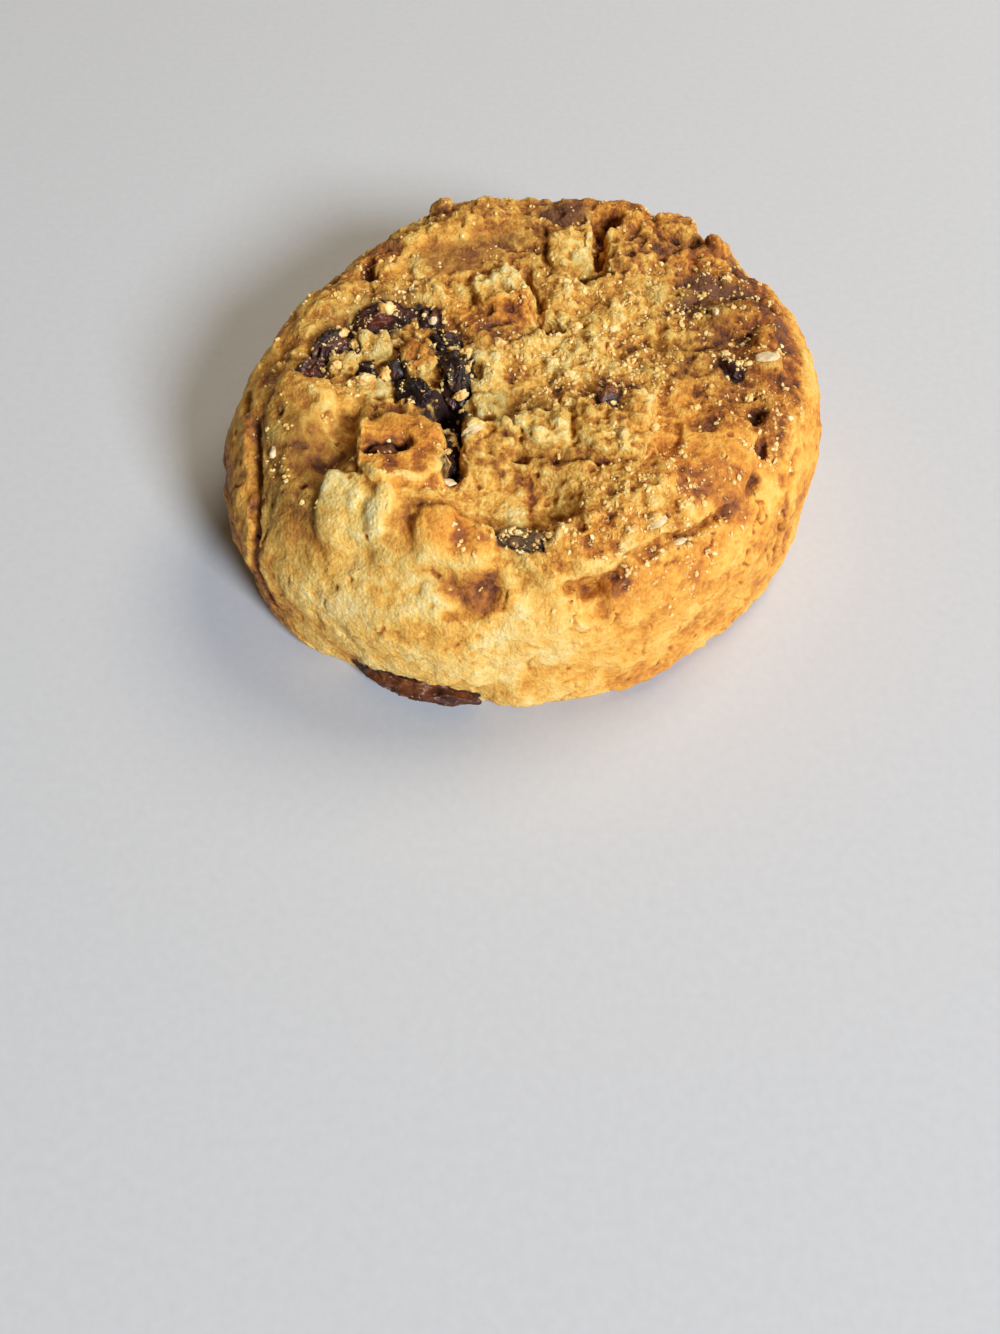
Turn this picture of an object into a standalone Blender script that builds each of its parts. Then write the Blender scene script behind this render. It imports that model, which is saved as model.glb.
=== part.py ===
# Oatmeal raisin cookie: one thick crumbly dough piece with raisins set in its top and its foot.
# The dough is a rounded slab with folded seams round its shoulder and a torn, lumpy top.
# Lengths are millimetres until each mesh is scaled to metres.

import math

import bmesh
import bpy
import numpy as np
from mathutils import Matrix, Vector, noise

METRES_PER_MM = 0.001

# Plan outline: a circle with a few waves round it, each as its waves per turn, sine and cosine parts
PLAN_RADIUS = 34.8
PLAN_WAVES = {
    "oval": dict(count=2, sine=1.8, cosine=0.4),
    "egg": dict(count=3, sine=-0.6, cosine=0.2),
    "square": dict(count=4, sine=0.4, cosine=0.0),
}

# Move in plan that puts the middle of the finished piece's box on the origin
PLAN_SHIFT = (0.30, -0.45)

# Upright section: flat base, rounded foot, wall and wide soft shoulder
BODY_HEIGHT = 23.5
FOOT_WIDTH = 2.2
FOOT_HEIGHT = 3.0
SHOULDER_WIDTH = 10.5
SHOULDER_HEIGHT = 12.0
SLUMP_ANGLE = 232.0
SLUMP_SPREAD = 40.0
SLUMP_WIDTH = 3.0
# Share of an arc's spread over which its effect stays full
FULL_SHARE_OF_SPREAD = 0.55

# Mesh density: the dough starts fine and is then reduced
DOUGH_SUBDIVISIONS = 7
BASE_SHARE = 0.5
DOUGH_TRIANGLES = 8100

# Torn plates and grain that cover the top
COARSE_PLATE = 5.2
COARSE_RELIEF = 1.1
FINE_PLATE = 2.3
FINE_RELIEF = 0.8
PLATE_SLOPE = 0.3
SWELL_LENGTH = 13.0
SWELL_RELIEF = 0.8
WALL_SWELL_LENGTH = 9.0
WALL_RELIEF = 0.5
WALL_GRAIN_SHARE = 0.25
EDGE_WARP = 0.55
EDGE_WARP_LENGTH = 2.6

# Upward tilt of the surface, as the height of its normal, over which top relief fades in
FEATURES_FADE = (0.1, 0.4)
GRAIN_FADE = (0.25, 0.75)

# Lobe of dough that stands out from the wall at the left
LOBE_ANGLE = 199.0
LOBE_SPREAD = 24.0
LOBE_MIDDLE_HEIGHT = 12.0
LOBE_HALF_HEIGHT = 7.0
LOBE_OUT = 0.6

# Dent in the foot of the wall over the foot raisin
DENT_ANGLE = 246.0
DENT_SPREAD = 22.0
DENT_FADE = (3.0, 7.0)
DENT_DEPTH = 1.0

# Seams where the dough folds over itself: way-points in space, half width and depth
SEAMS = {
    "left": dict(
        way=(
            (-32.8, -3.9, 19.7),
            (-31.3, -8.4, 21.1),
            (-30.6, -12.4, 20.5),
            (-30.2, -17.7, 18.4),
            (-30.1, -20.3, 16.4),
            (-30.6, -21.4, 12.0),
            (-29.6, -23.0, 6.9),
        ),
        width=0.9,
        depth=1.3,
    ),
    "right": dict(
        way=((29.5, -11.7, 19.0), (28.6, -14.6, 18.1), (27.9, -18.1, 14.6), (28.6, -17.7, 6.7)),
        width=0.7,
        depth=1.0,
    ),
    "fold": dict(
        way=(
            (3.5, -30.6, 19.5),
            (7.7, -29.4, 19.8),
            (12.9, -26.3, 20.8),
            (17.3, -23.8, 20.7),
            (22.6, -19.5, 20.5),
            (23.8, -17.2, 21.0),
        ),
        width=0.75,
        depth=1.3,
    ),
    "slump": dict(
        way=((-24.8, -21.7, 20.3), (-23.8, -23.2, 20.0), (-22.4, -26.7, 17.7), (-21.8, -28.2, 16.1)),
        width=0.8,
        depth=0.4,
    ),
}
SEAM_WARP_SHARE = 0.6
# A seam's depth changes along its way by a noise, between two shares of its full depth
SEAM_WANDER_LENGTH = 3.5
SEAM_WANDER = 1.6
SEAM_MEAN = 0.85
SEAM_LIMITS = (0.25, 1.25)

# How square the plates and the hollows are in plan, from 2 for an oval upwards
PLATE_SQUARENESS = 3.0
HOLLOW_SQUARENESS = 2.2

# Raised pieces of the top: centre, half sizes, turn in degrees, height and width of the torn edge
PLATES = {
    "lip": dict(at=(-14.2, -15.9), size=(4.2, 4.8), turn=3, height=1.8, edge=0.7),
    "lip_bulge": dict(at=(-8.3, -26.9), size=(3.9, 2.8), turn=-20, height=1.5, edge=1.4),
    "lip_slope": dict(at=(-12.8, -24.6), size=(4.4, 3.8), turn=-15, height=1.2, edge=2.0),
    "pale_lump": dict(at=(-18.6, -22.6), size=(4.0, 3.3), turn=-12, height=1.4, edge=1.1),
    "left_chunk": dict(at=(-25.6, -8.9), size=(3.6, 4.4), turn=-15, height=0.9, edge=1.4),
    "left_brow": dict(at=(-26.5, 8.5), size=(3.0, 5.0), turn=-25, height=0.5, edge=1.8),
    "north_plate": dict(at=(-3.6, 9.9), size=(3.1, 3.0), turn=25, height=1.2, edge=0.6),
    "north_boss": dict(at=(-2.5, 6.6), size=(2.3, 1.5), turn=0, height=1.0, edge=1.0),
    "channel_plate": dict(at=(5.3, 16.6), size=(2.8, 3.0), turn=0, height=1.3, edge=0.6),
    "east_plate": dict(at=(12.5, 16.0), size=(3.0, 2.2), turn=15, height=0.9, edge=0.7),
    "rim_knob": dict(at=(18.4, 23.2), size=(2.5, 2.7), turn=0, height=1.3, edge=1.2),
    "rim_crust": dict(at=(12.8, 25.6), size=(3.4, 1.6), turn=-8, height=0.8, edge=0.9),
    "rim_tooth": dict(at=(23.4, 20.6), size=(1.3, 1.8), turn=20, height=1.4, edge=0.9),
    "rim_point": dict(at=(-10.9, 26.4), size=(1.2, 1.3), turn=0, height=1.3, edge=1.0),
    "far_lump": dict(at=(-6.0, 23.2), size=(2.7, 2.2), turn=20, height=0.9, edge=0.8),
    "far_lump_left": dict(at=(-9.6, 20.8), size=(2.4, 2.0), turn=30, height=0.7, edge=0.8),
    "orange_lump": dict(at=(22.3, 14.0), size=(2.0, 2.0), turn=0, height=0.9, edge=1.0),
    "brow": dict(at=(23.4, 6.6), size=(2.8, 1.6), turn=0, height=0.8, edge=1.0),
    "inner_plate": dict(at=(-4.8, -7.4), size=(1.8, 3.0), turn=5, height=1.2, edge=0.7),
    "bright_plate": dict(at=(1.0, -12.4), size=(2.6, 2.5), turn=0, height=1.6, edge=0.7),
    "ragged_plate": dict(at=(-5.4, -14.4), size=(3.2, 2.3), turn=-10, height=1.4, edge=0.5),
    "ledge": dict(at=(8.9, -12.0), size=(4.2, 4.3), turn=0, height=1.3, edge=0.5),
    "near_plate": dict(at=(10.6, -19.2), size=(4.4, 2.6), turn=10, height=0.6, edge=0.7),
    "near_rim": dict(at=(7.0, -27.2), size=(7.5, 2.2), turn=17, height=0.8, edge=1.2),
    "oat_flake": dict(at=(26.6, -2.0), size=(1.5, 0.8), turn=8, height=0.5, edge=0.4),
    "raisin_chunk": dict(at=(-12.8, -1.2), size=(1.7, 2.6), turn=5, height=2.1, edge=0.8),
    "golden_chunk": dict(at=(-18.0, 1.1), size=(1.9, 1.6), turn=20, height=1.9, edge=0.8),
    "west_chunk": dict(at=(-21.3, -1.7), size=(1.4, 1.5), turn=0, height=1.5, edge=0.8),
    "low_chunk": dict(at=(-18.4, -5.0), size=(2.6, 1.4), turn=0, height=1.2, edge=0.8),
    "pale_chunk": dict(at=(-17.4, -8.2), size=(1.8, 1.7), turn=0, height=0.9, edge=0.7),
}

# Hollows of the top: centre, half sizes, turn in degrees, depth and width of the edge
HOLLOWS = {
    "basin": dict(at=(-2.2, -21.6), size=(6.2, 3.7), turn=-6, depth=2.6, edge=2.0),
    "raisin_hollow": dict(at=(-16.2, 0.6), size=(9.0, 7.8), turn=0, depth=1.3, edge=1.6),
    "crevice": dict(at=(-9.0, -13.0), size=(1.6, 5.6), turn=5, depth=4.0, edge=1.0),
    "north_hole": dict(at=(7.8, 13.6), size=(1.9, 1.3), turn=0, depth=3.6, edge=0.7),
    "north_bay": dict(at=(9.9, 22.8), size=(1.9, 2.0), turn=-20, depth=2.0, edge=1.0),
    "knob_pocket": dict(at=(17.2, 20.0), size=(2.0, 1.0), turn=10, depth=2.3, edge=0.8),
    "rim_notch": dict(at=(21.2, 21.0), size=(0.7, 2.2), turn=-35, depth=2.4, edge=0.7),
    "middle_hole": dict(at=(1.7, 4.4), size=(1.6, 1.1), turn=0, depth=2.6, edge=0.8),
    "small_hole": dict(at=(-1.6, -15.8), size=(1.5, 0.9), turn=-15, depth=2.0, edge=0.6),
    "far_left_pocket": dict(at=(-19.6, 14.3), size=(0.9, 1.9), turn=10, depth=2.0, edge=0.7),
    "left_dip": dict(at=(-21.6, -13.4), size=(2.5, 3.9), turn=5, depth=2.0, edge=1.7),
    "lip_pit": dict(at=(-15.6, -15.7), size=(2.6, 1.2), turn=5, depth=2.4, edge=0.9),
    "grey_dip": dict(at=(14.2, 2.4), size=(1.5, 2.3), turn=-20, depth=1.0, edge=1.0),
    "ledge_foot": dict(at=(14.3, -11.5), size=(1.6, 4.4), turn=0, depth=0.9, edge=1.0),
    "right_pit": dict(at=(24.6, -9.4), size=(0.9, 0.9), turn=0, depth=1.3, edge=0.7),
    "right_pit_low": dict(at=(24.8, -13.4), size=(0.7, 1.2), turn=-20, depth=1.4, edge=0.7),
    "right_dip": dict(at=(18.4, -11.4), size=(1.7, 1.1), turn=10, depth=0.5, edge=0.8),
    "orange_dip": dict(at=(-6.1, -31.0), size=(2.8, 1.5), turn=0, depth=1.3, edge=1.0),
    "fold_pit": dict(at=(6.2, -30.9), size=(1.7, 1.2), turn=20, depth=1.5, edge=0.7),
}

# Cracks of the top: way-points, half width and depth; each has a flat floor and sloping sides
CRACK_FLOOR = 0.2
CRACK_SIDES = 1.4
CRACKS = {
    "channel": dict(way=((8.0, 14.0), (8.4, 18.0), (8.8, 21.5), (10.5, 24.0)), width=0.9, depth=2.2),
    "north_slot": dict(way=((-0.4, 13.6), (-0.2, 11.0), (0.9, 8.6), (0.9, 6.2)), width=0.7, depth=2.0),
    "far_crack": dict(way=((-4.4, 19.2), (-1.6, 17.2), (0.6, 17.8)), width=0.5, depth=0.9),
    "right_crack": dict(way=((17.2, 0.2), (18.6, 0.7), (20.6, 2.1)), width=0.5, depth=1.0),
    "purple_arc": dict(way=((18.4, 7.6), (20.2, 9.7), (22.6, 10.3), (25.2, 9.3)), width=0.7, depth=1.0),
    "far_purple": dict(way=((1.4, 24.4), (3.8, 22.3), (6.6, 22.8)), width=0.7, depth=1.0),
    "middle_crack": dict(way=((0.4, -15.6), (3.5, -16.2), (7.2, -16.6)), width=0.6, depth=1.0),
}

# Calm stretches, where the top is smooth, with the width of their edges
CALM_EDGE = 1.5
CALM_STRENGTH = 0.75
CALM_SPOTS = {
    "far_left": dict(at=(-7.0, 17.0), size=(7.0, 4.0)),
    "basin": dict(at=(-2.4, -21.2), size=(7.0, 4.4)),
    "near_right": dict(at=(20.5, -17.5), size=(7.0, 6.5)),
    "raisin_field": dict(at=(-16.0, 2.0), size=(9.5, 7.5)),
    "lip": dict(at=(-14.2, -17.6), size=(5.0, 7.5)),
    "lip_bulge": dict(at=(-9.5, -27.0), size=(6.0, 3.8)),
}

# Raisins: centre in plan, lift of the centre above the surface, half sizes, turn in degrees, fineness
RAISINS = {
    "raisin_west": dict(at=(-23.0, 1.2), lift=0.2, size=(3.3, 1.7, 1.9), turn=66, subdivisions=3),
    "raisin_west_end": dict(at=(-25.0, -3.7), lift=0.1, size=(1.5, 1.2, 1.3), turn=60, subdivisions=2),
    "raisin_north": dict(at=(-17.3, 6.6), lift=-0.2, size=(3.7, 1.8, 1.9), turn=20, subdivisions=3),
    "raisin_north_end": dict(at=(-11.7, 6.6), lift=-0.2, size=(1.5, 1.1, 1.3), turn=65, subdivisions=2),
    "raisin_inner": dict(at=(-9.9, 2.4), lift=-0.3, size=(2.1, 1.5, 1.5), turn=-50, subdivisions=2),
    "raisin_arm": dict(at=(-12.7, -6.4), lift=0.1, size=(2.7, 1.5, 1.6), turn=-36, subdivisions=2),
    "raisin_east": dict(at=(-8.4, -3.9), lift=0.0, size=(4.0, 1.7, 1.9), turn=90, subdivisions=3),
    "raisin_crevice": dict(at=(-9.2, -13.4), lift=1.3, size=(3.8, 1.2, 1.6), turn=84, subdivisions=2),
    "raisin_gap": dict(at=(-15.4, -1.9), lift=-0.2, size=(1.6, 0.9, 1.2), turn=80, subdivisions=2),
    "raisin_gap_west": dict(at=(-18.9, -1.8), lift=-0.2, size=(1.3, 0.8, 1.1), turn=-20, subdivisions=2),
    "raisin_basin": dict(at=(-1.6, -26.2), lift=-1.4, size=(4.4, 1.5, 1.7), turn=-5, subdivisions=3),
    "raisin_right": dict(at=(22.6, -2.8), lift=-0.6, size=(1.6, 1.3, 1.4), turn=-30, subdivisions=2),
    "raisin_centre": dict(at=(8.4, -8.4), lift=-0.8, size=(1.5, 1.2, 1.4), turn=70, subdivisions=2),
    "raisin_lip": dict(at=(-15.9, -15.7), lift=0.1, size=(1.8, 1.0, 1.3), turn=8, subdivisions=2),
}
FOOT_RAISIN = dict(angle=246.0, inset=1.7, height=2.6, size=(8.0, 2.2, 2.1), subdivisions=3)
# Radius that the foot raisin follows round the foot
FOOT_CURVE = 35.0
RAISIN_WRINKLE = 0.16
RAISIN_WRINKLE_LENGTH = 1.6
RAISIN_BEND = 0.10
POCKET_GAP = 0.34

# Finishes
DOUGH_COLOUR = (0.52, 0.29, 0.09)
DOUGH_ROUGHNESS = 0.85
RAISIN_COLOUR = (0.035, 0.010, 0.008)
RAISIN_ROUGHNESS = 0.35


def smooth_step(low, high, value):
    t = np.clip((value - low) / (high - low), 0.0, 1.0)
    return t * t * (3.0 - 2.0 * t)


def angle_bump(theta, middle, spread):
    # 1 at the middle angle and 0 past the spread, both in degrees
    away = np.abs((np.degrees(theta) - middle + 180.0) % 360.0 - 180.0)
    return 1.0 - smooth_step(FULL_SHARE_OF_SPREAD * spread, spread, away)


def plan_radius(theta):
    radius = PLAN_RADIUS + 0.0 * theta
    for wave in PLAN_WAVES.values():
        angle = wave["count"] * theta
        radius += wave["sine"] * np.sin(angle) + wave["cosine"] * np.cos(angle)
    return radius


def shoulder_width(theta):
    return SHOULDER_WIDTH + SLUMP_WIDTH * angle_bump(theta, SLUMP_ANGLE, SLUMP_SPREAD)


def section_point(station, outer, shoulder):
    # Radius and height at a station: 0-1 base, 1-2 foot, 2-3 wall, 3-4 shoulder, 4-5 top
    part = np.clip(np.floor(station), 0, 4)
    share = station - part
    turn = share * math.pi / 2.0
    wall_top = BODY_HEIGHT - SHOULDER_HEIGHT
    radius = np.select(
        [part == 0, part == 1, part == 2, part == 3],
        [
            share * (outer - FOOT_WIDTH),
            outer - FOOT_WIDTH + FOOT_WIDTH * np.sin(turn),
            outer + 0.0 * share,
            outer - shoulder + shoulder * np.cos(turn),
        ],
        (1.0 - share) * (outer - shoulder),
    )
    height = np.select(
        [part == 0, part == 1, part == 2, part == 3],
        [
            0.0 * share,
            FOOT_HEIGHT * (1.0 - np.cos(turn)),
            FOOT_HEIGHT + share * (wall_top - FOOT_HEIGHT),
            wall_top + SHOULDER_HEIGHT * np.sin(turn),
        ],
        BODY_HEIGHT,
    )
    return radius, height


def station_of_sphere_height(sphere_height):
    # Equal bands of the sphere take equal areas of the dough, with a smaller share for the base
    station = np.linspace(0.0, 5.0, 2001)
    radius, height = section_point(station, PLAN_RADIUS, SHOULDER_WIDTH)
    length = np.hypot(np.diff(radius), np.diff(height))
    area = length * (radius[1:] + radius[:-1])
    area[station[1:] <= 1.0] *= BASE_SHARE
    total = np.concatenate([[0.0], np.cumsum(area)])
    return np.interp((sphere_height + 1.0) / 2.0, total / total[-1], station)


def section_height(x, y):
    # Height of the bare top and shoulder over a point in plan
    theta = np.arctan2(y, x)
    width = shoulder_width(theta)
    past = np.clip((np.hypot(x, y) - plan_radius(theta) + width) / width, 0.0, 1.0)
    return BODY_HEIGHT - SHOULDER_HEIGHT * (1.0 - np.sqrt(1.0 - past * past))


def noise_field(x, y, z, length, seed):
    shift = Vector((17.3, 5.9, 11.1)) * seed
    spots = zip(x / length, y / length, z / length)
    return np.array([noise.noise(Vector(spot) + shift) for spot in spots])


def plate_level(place, centre):
    # Level and tilt of one cell, read at a place
    chance = noise.cell_vector(centre)
    away = place - centre
    return chance.z - 0.5 + (chance.x - 0.5) * away.x + (chance.y - 0.5) * away.y


def plate_field(x, y, z, size, seed):
    # Broken plates: each cell has its own level and tilt, and two cells meet in a short slope
    shift = Vector((7.7, 3.1, 13.9)) * seed
    values = []
    for spot in zip(x / size, y / size, z / size):
        place = Vector(spot) + shift
        gaps, centres = noise.voronoi(place)
        own = plate_level(place, centres[0])
        next_one = plate_level(place, centres[1])
        blend = max(0.0, 1.0 - (gaps[1] - gaps[0]) / PLATE_SLOPE)
        values.append(own + 0.5 * blend * (next_one - own))
    return np.array(values)


def oval_distance(x, y, at, size, turn=0.0, squareness=2.0):
    # Rough distance in millimetres from an oval's rim, negative inside
    cosine = math.cos(math.radians(turn))
    sine = math.sin(math.radians(turn))
    along = ((x - at[0]) * cosine + (y - at[1]) * sine) / size[0]
    across = ((y - at[1]) * cosine - (x - at[0]) * sine) / size[1]
    reach = np.power(np.abs(along) ** squareness + np.abs(across) ** squareness, 1.0 / squareness)
    return (reach - 1.0) * min(size)


def way_distance(places, way):
    # Distance of each place, given in plan or in space, from a line through the way-points
    nearest = np.full(len(places), 1e9)
    for start, end in zip(way[:-1], way[1:]):
        start = np.array(start)
        run = np.array(end) - start
        share = np.clip((places - start) @ run / (run @ run), 0.0, 1.0)
        away = np.linalg.norm(places - start - share[:, None] * run, axis=1)
        nearest = np.minimum(nearest, away)
    return nearest


def cut_depth(places, cuts):
    # Depth of cracks or seams, each with a flat floor and sloping sides
    depth = np.zeros(len(places))
    for cut in cuts.values():
        away = way_distance(places, cut["way"]) / cut["width"]
        depth += cut["depth"] * (1.0 - smooth_step(CRACK_FLOOR, CRACK_SIDES, away))
    return depth


def feature_relief(x, y):
    # Height that the named plates, hollows and cracks add at a point in plan
    relief = 0.0 * x
    for plate in PLATES.values():
        away = oval_distance(x, y, plate["at"], plate["size"], plate["turn"], PLATE_SQUARENESS)
        relief += plate["height"] * (1.0 - smooth_step(-plate["edge"], plate["edge"], away))
    for hollow in HOLLOWS.values():
        away = oval_distance(x, y, hollow["at"], hollow["size"], hollow["turn"], HOLLOW_SQUARENESS)
        relief -= hollow["depth"] * (1.0 - smooth_step(-hollow["edge"], hollow["edge"], away))
    return relief - cut_depth(np.column_stack([x, y]), CRACKS)


def calm_share(x, y):
    calm = 0.0 * x
    for spot in CALM_SPOTS.values():
        away = oval_distance(x, y, spot["at"], spot["size"])
        calm = np.maximum(calm, 1.0 - smooth_step(-CALM_EDGE, CALM_EDGE, away))
    return calm


def wall_push(theta, z):
    # The lobe stands out and the dent over the foot raisin is set back
    reach = np.clip(1.0 - ((z - LOBE_MIDDLE_HEIGHT) / LOBE_HALF_HEIGHT) ** 2, 0.0, 1.0)
    lobe = LOBE_OUT * angle_bump(theta, LOBE_ANGLE, LOBE_SPREAD) * reach
    fade = 1.0 - smooth_step(*DENT_FADE, z)
    return lobe - DENT_DEPTH * angle_bump(theta, DENT_ANGLE, DENT_SPREAD) * fade


def mesh_object(name, source, collection):
    mesh = bpy.data.meshes.new(name)
    source.to_mesh(mesh)
    source.free()
    thing = bpy.data.objects.new(name, mesh)
    collection.objects.link(thing)
    return thing


def vertex_places(mesh):
    places = np.empty(len(mesh.vertices) * 3)
    mesh.vertices.foreach_get("co", places)
    return places.reshape(-1, 3)


def vertex_normals(mesh):
    normals = np.empty(len(mesh.vertices) * 3)
    mesh.vertices.foreach_get("normal", normals)
    return normals.reshape(-1, 3)


def move_vertices(mesh, places):
    mesh.vertices.foreach_set("co", places.ravel())
    mesh.update()


def apply_modifiers(thing):
    # Swap the object's mesh for the one its modifiers make
    graph = bpy.context.evaluated_depsgraph_get()
    result = bpy.data.meshes.new_from_object(thing.evaluated_get(graph))
    thing.modifiers.clear()
    thing.data = result


def set_material(thing, colour, roughness):
    material = bpy.data.materials.new(thing.name)
    material.use_nodes = True
    shader = material.node_tree.nodes["Principled BSDF"]
    shader.inputs["Base Color"].default_value = (*colour, 1.0)
    shader.inputs["Roughness"].default_value = roughness
    shader.inputs["Metallic"].default_value = 0.0
    thing.data.materials.clear()
    thing.data.materials.append(material)


def make_dough(collection):
    ball = bmesh.new()
    bmesh.ops.create_icosphere(ball, subdivisions=DOUGH_SUBDIVISIONS, radius=1.0)
    dough = mesh_object("dough", ball, collection)

    # Turn the sphere into the bare slab
    sphere = vertex_places(dough.data)
    theta = np.arctan2(sphere[:, 1], sphere[:, 0])
    station = station_of_sphere_height(sphere[:, 2])
    radius, z = section_point(station, plan_radius(theta), shoulder_width(theta))
    x = radius * np.cos(theta)
    y = radius * np.sin(theta)
    move_vertices(dough.data, np.column_stack([x, y, z]))
    normals = vertex_normals(dough.data)

    # Torn edges wander, so features are read at slightly shifted places
    warped_x = x + EDGE_WARP * noise_field(x, y, z, EDGE_WARP_LENGTH, 1)
    warped_y = y + EDGE_WARP * noise_field(x, y, z, EDGE_WARP_LENGTH, 2)
    top_share = smooth_step(*GRAIN_FADE, normals[:, 2])
    off_base = smooth_step(1.0, 1.5, station)
    wall_share = (1.0 - top_share) * off_base

    rough = 1.0 - CALM_STRENGTH * calm_share(x, y)
    grain = COARSE_RELIEF * plate_field(x, y, z, COARSE_PLATE, 3)
    grain += FINE_RELIEF * plate_field(x, y, z, FINE_PLATE, 4)
    swell = SWELL_RELIEF * noise_field(x, y, z, SWELL_LENGTH, 5)
    features = feature_relief(warped_x, warped_y) * smooth_step(*FEATURES_FADE, normals[:, 2])
    rise = features + top_share * (swell + rough * grain)

    swell_out = WALL_RELIEF * noise_field(x, y, z, WALL_SWELL_LENGTH, 7) + WALL_GRAIN_SHARE * grain
    push = wall_share * swell_out + wall_push(theta, z) * off_base
    outward = np.column_stack([np.cos(theta), np.sin(theta), 0.0 * z])
    places = np.column_stack([x, y, z + rise]) + outward * push[:, None]
    torn_x = x + SEAM_WARP_SHARE * (warped_x - x)
    torn_y = y + SEAM_WARP_SHARE * (warped_y - y)
    seams = cut_depth(np.column_stack([torn_x, torn_y, z]), SEAMS)
    wander = SEAM_MEAN + SEAM_WANDER * noise_field(x, y, z, SEAM_WANDER_LENGTH, 41)
    places -= normals * (seams * np.clip(wander, *SEAM_LIMITS))[:, None]
    places[:, 2] = np.where(station <= 1.0, 0.0, np.maximum(places[:, 2], 0.0))
    move_vertices(dough.data, places)

    # Reduce to the triangle budget
    reduce = dough.modifiers.new("reduce", "DECIMATE")
    reduce.ratio = DOUGH_TRIANGLES / len(dough.data.polygons)
    apply_modifiers(dough)
    return dough


def surface_height(x, y):
    spot_x = np.array([x])
    spot_y = np.array([y])
    return float((section_height(spot_x, spot_y) + feature_relief(spot_x, spot_y))[0])


def raisin_mesh(size, subdivisions, seed, extra, curve):
    # A wrinkled, slightly bent oval; extra swells it evenly for its pocket
    ball = bmesh.new()
    bmesh.ops.create_icosphere(ball, subdivisions=subdivisions, radius=1.0)
    shift = Vector((3.7, 9.1, 5.3)) * seed
    for vertex in ball.verts:
        way = vertex.co.normalized()
        fold = noise.noise(way * RAISIN_WRINKLE_LENGTH + shift)
        place = Vector((way.x * size[0], way.y * size[1], way.z * size[2]))
        place *= 1.0 + RAISIN_WRINKLE * fold
        place.z -= RAISIN_BEND * place.x * place.x / size[0]
        if curve:
            place.y += place.x * place.x / (2.0 * curve)
        vertex.co = place
    ball.normal_update()
    shifts = [vertex.normal * extra for vertex in ball.verts]
    for vertex, move in zip(ball.verts, shifts):
        vertex.co += move
    return ball


def make_raisin(name, place, turn, spec, seed, collection, cutters, curve=0.0):
    frame = Matrix.Translation(place) @ Matrix.Rotation(turn, 4, "Z")
    size = spec["size"]
    subdivisions = spec["subdivisions"]
    raisin = mesh_object(name, raisin_mesh(size, subdivisions, seed, 0.0, curve), collection)
    raisin.matrix_world = frame
    set_material(raisin, RAISIN_COLOUR, RAISIN_ROUGHNESS)
    raisin.data.shade_smooth()
    swollen = raisin_mesh(size, subdivisions, seed, POCKET_GAP, curve)
    pocket = mesh_object(name + "_pocket", swollen, cutters)
    pocket.matrix_world = frame
    pocket.hide_render = True
    pocket.display_type = "WIRE"
    return raisin


def make_raisins(collection, cutters):
    raisins = []
    for seed, (name, spec) in enumerate(RAISINS.items()):
        x, y = spec["at"]
        place = Vector((x, y, surface_height(x, y) + spec["lift"]))
        turn = math.radians(spec["turn"])
        raisins.append(make_raisin(name, place, turn, spec, seed, collection, cutters))
    angle = math.radians(FOOT_RAISIN["angle"])
    radius = float(plan_radius(angle)) - FOOT_RAISIN["inset"]
    place = Vector((radius * math.cos(angle), radius * math.sin(angle), FOOT_RAISIN["height"]))
    turn = angle + math.pi / 2.0
    seed = len(RAISINS)
    foot = make_raisin("raisin_foot", place, turn, FOOT_RAISIN, seed, collection, cutters, FOOT_CURVE)
    return [*raisins, foot]


def cut_pockets(dough, cutters):
    cut = dough.modifiers.new("pockets", "BOOLEAN")
    cut.operation = "DIFFERENCE"
    cut.operand_type = "COLLECTION"
    cut.collection = cutters
    cut.solver = "EXACT"
    apply_modifiers(dough)


def drop_scraps(thing):
    # Keep the largest connected piece and remove any crumb that the cuts set loose
    body = bmesh.new()
    body.from_mesh(thing.data)
    left = set(body.verts)
    pieces = []
    while left:
        piece = set()
        reached = [left.pop()]
        while reached:
            vertex = reached.pop()
            piece.add(vertex)
            for edge in vertex.link_edges:
                other = edge.other_vert(vertex)
                if other in left:
                    left.remove(other)
                    reached.append(other)
        pieces.append(piece)
    pieces.sort(key=len)
    for scrap in pieces[:-1]:
        bmesh.ops.delete(body, geom=list(scrap), context="VERTS")
    body.to_mesh(thing.data)
    body.free()


def to_metres(thing):
    # Bake the placement, the centring and the unit change into the mesh
    centring = Matrix.Translation((*PLAN_SHIFT, 0.0))
    thing.data.transform(Matrix.Scale(METRES_PER_MM, 4) @ centring @ thing.matrix_world)
    thing.matrix_world = Matrix.Identity(4)
    thing.data.update()


def main():
    for thing in list(bpy.data.objects):
        bpy.data.objects.remove(thing, do_unlink=True)
    cookie = bpy.data.collections.new("oatmeal_raisin_cookie")
    cutters = bpy.data.collections.new("cutters")
    bpy.context.scene.collection.children.link(cookie)
    bpy.context.scene.collection.children.link(cutters)

    dough = make_dough(cookie)
    raisins = make_raisins(cookie, cutters)
    bpy.context.view_layer.update()
    cut_pockets(dough, cutters)
    drop_scraps(dough)
    set_material(dough, DOUGH_COLOUR, DOUGH_ROUGHNESS)
    dough.data.shade_smooth()
    for thing in [dough, *raisins, *cutters.objects]:
        to_metres(thing)


main()
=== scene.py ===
# Oatmeal raisin cookie: fine torn dough, wrinkled raisins, crumbs and oat flakes
# Shapes are worked out in millimetres and become metres when a mesh is made
import bmesh
import bpy
import math
import numpy as np
import random
from mathutils import Matrix, Vector, noise
from mathutils.bvhtree import BVHTree


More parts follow.
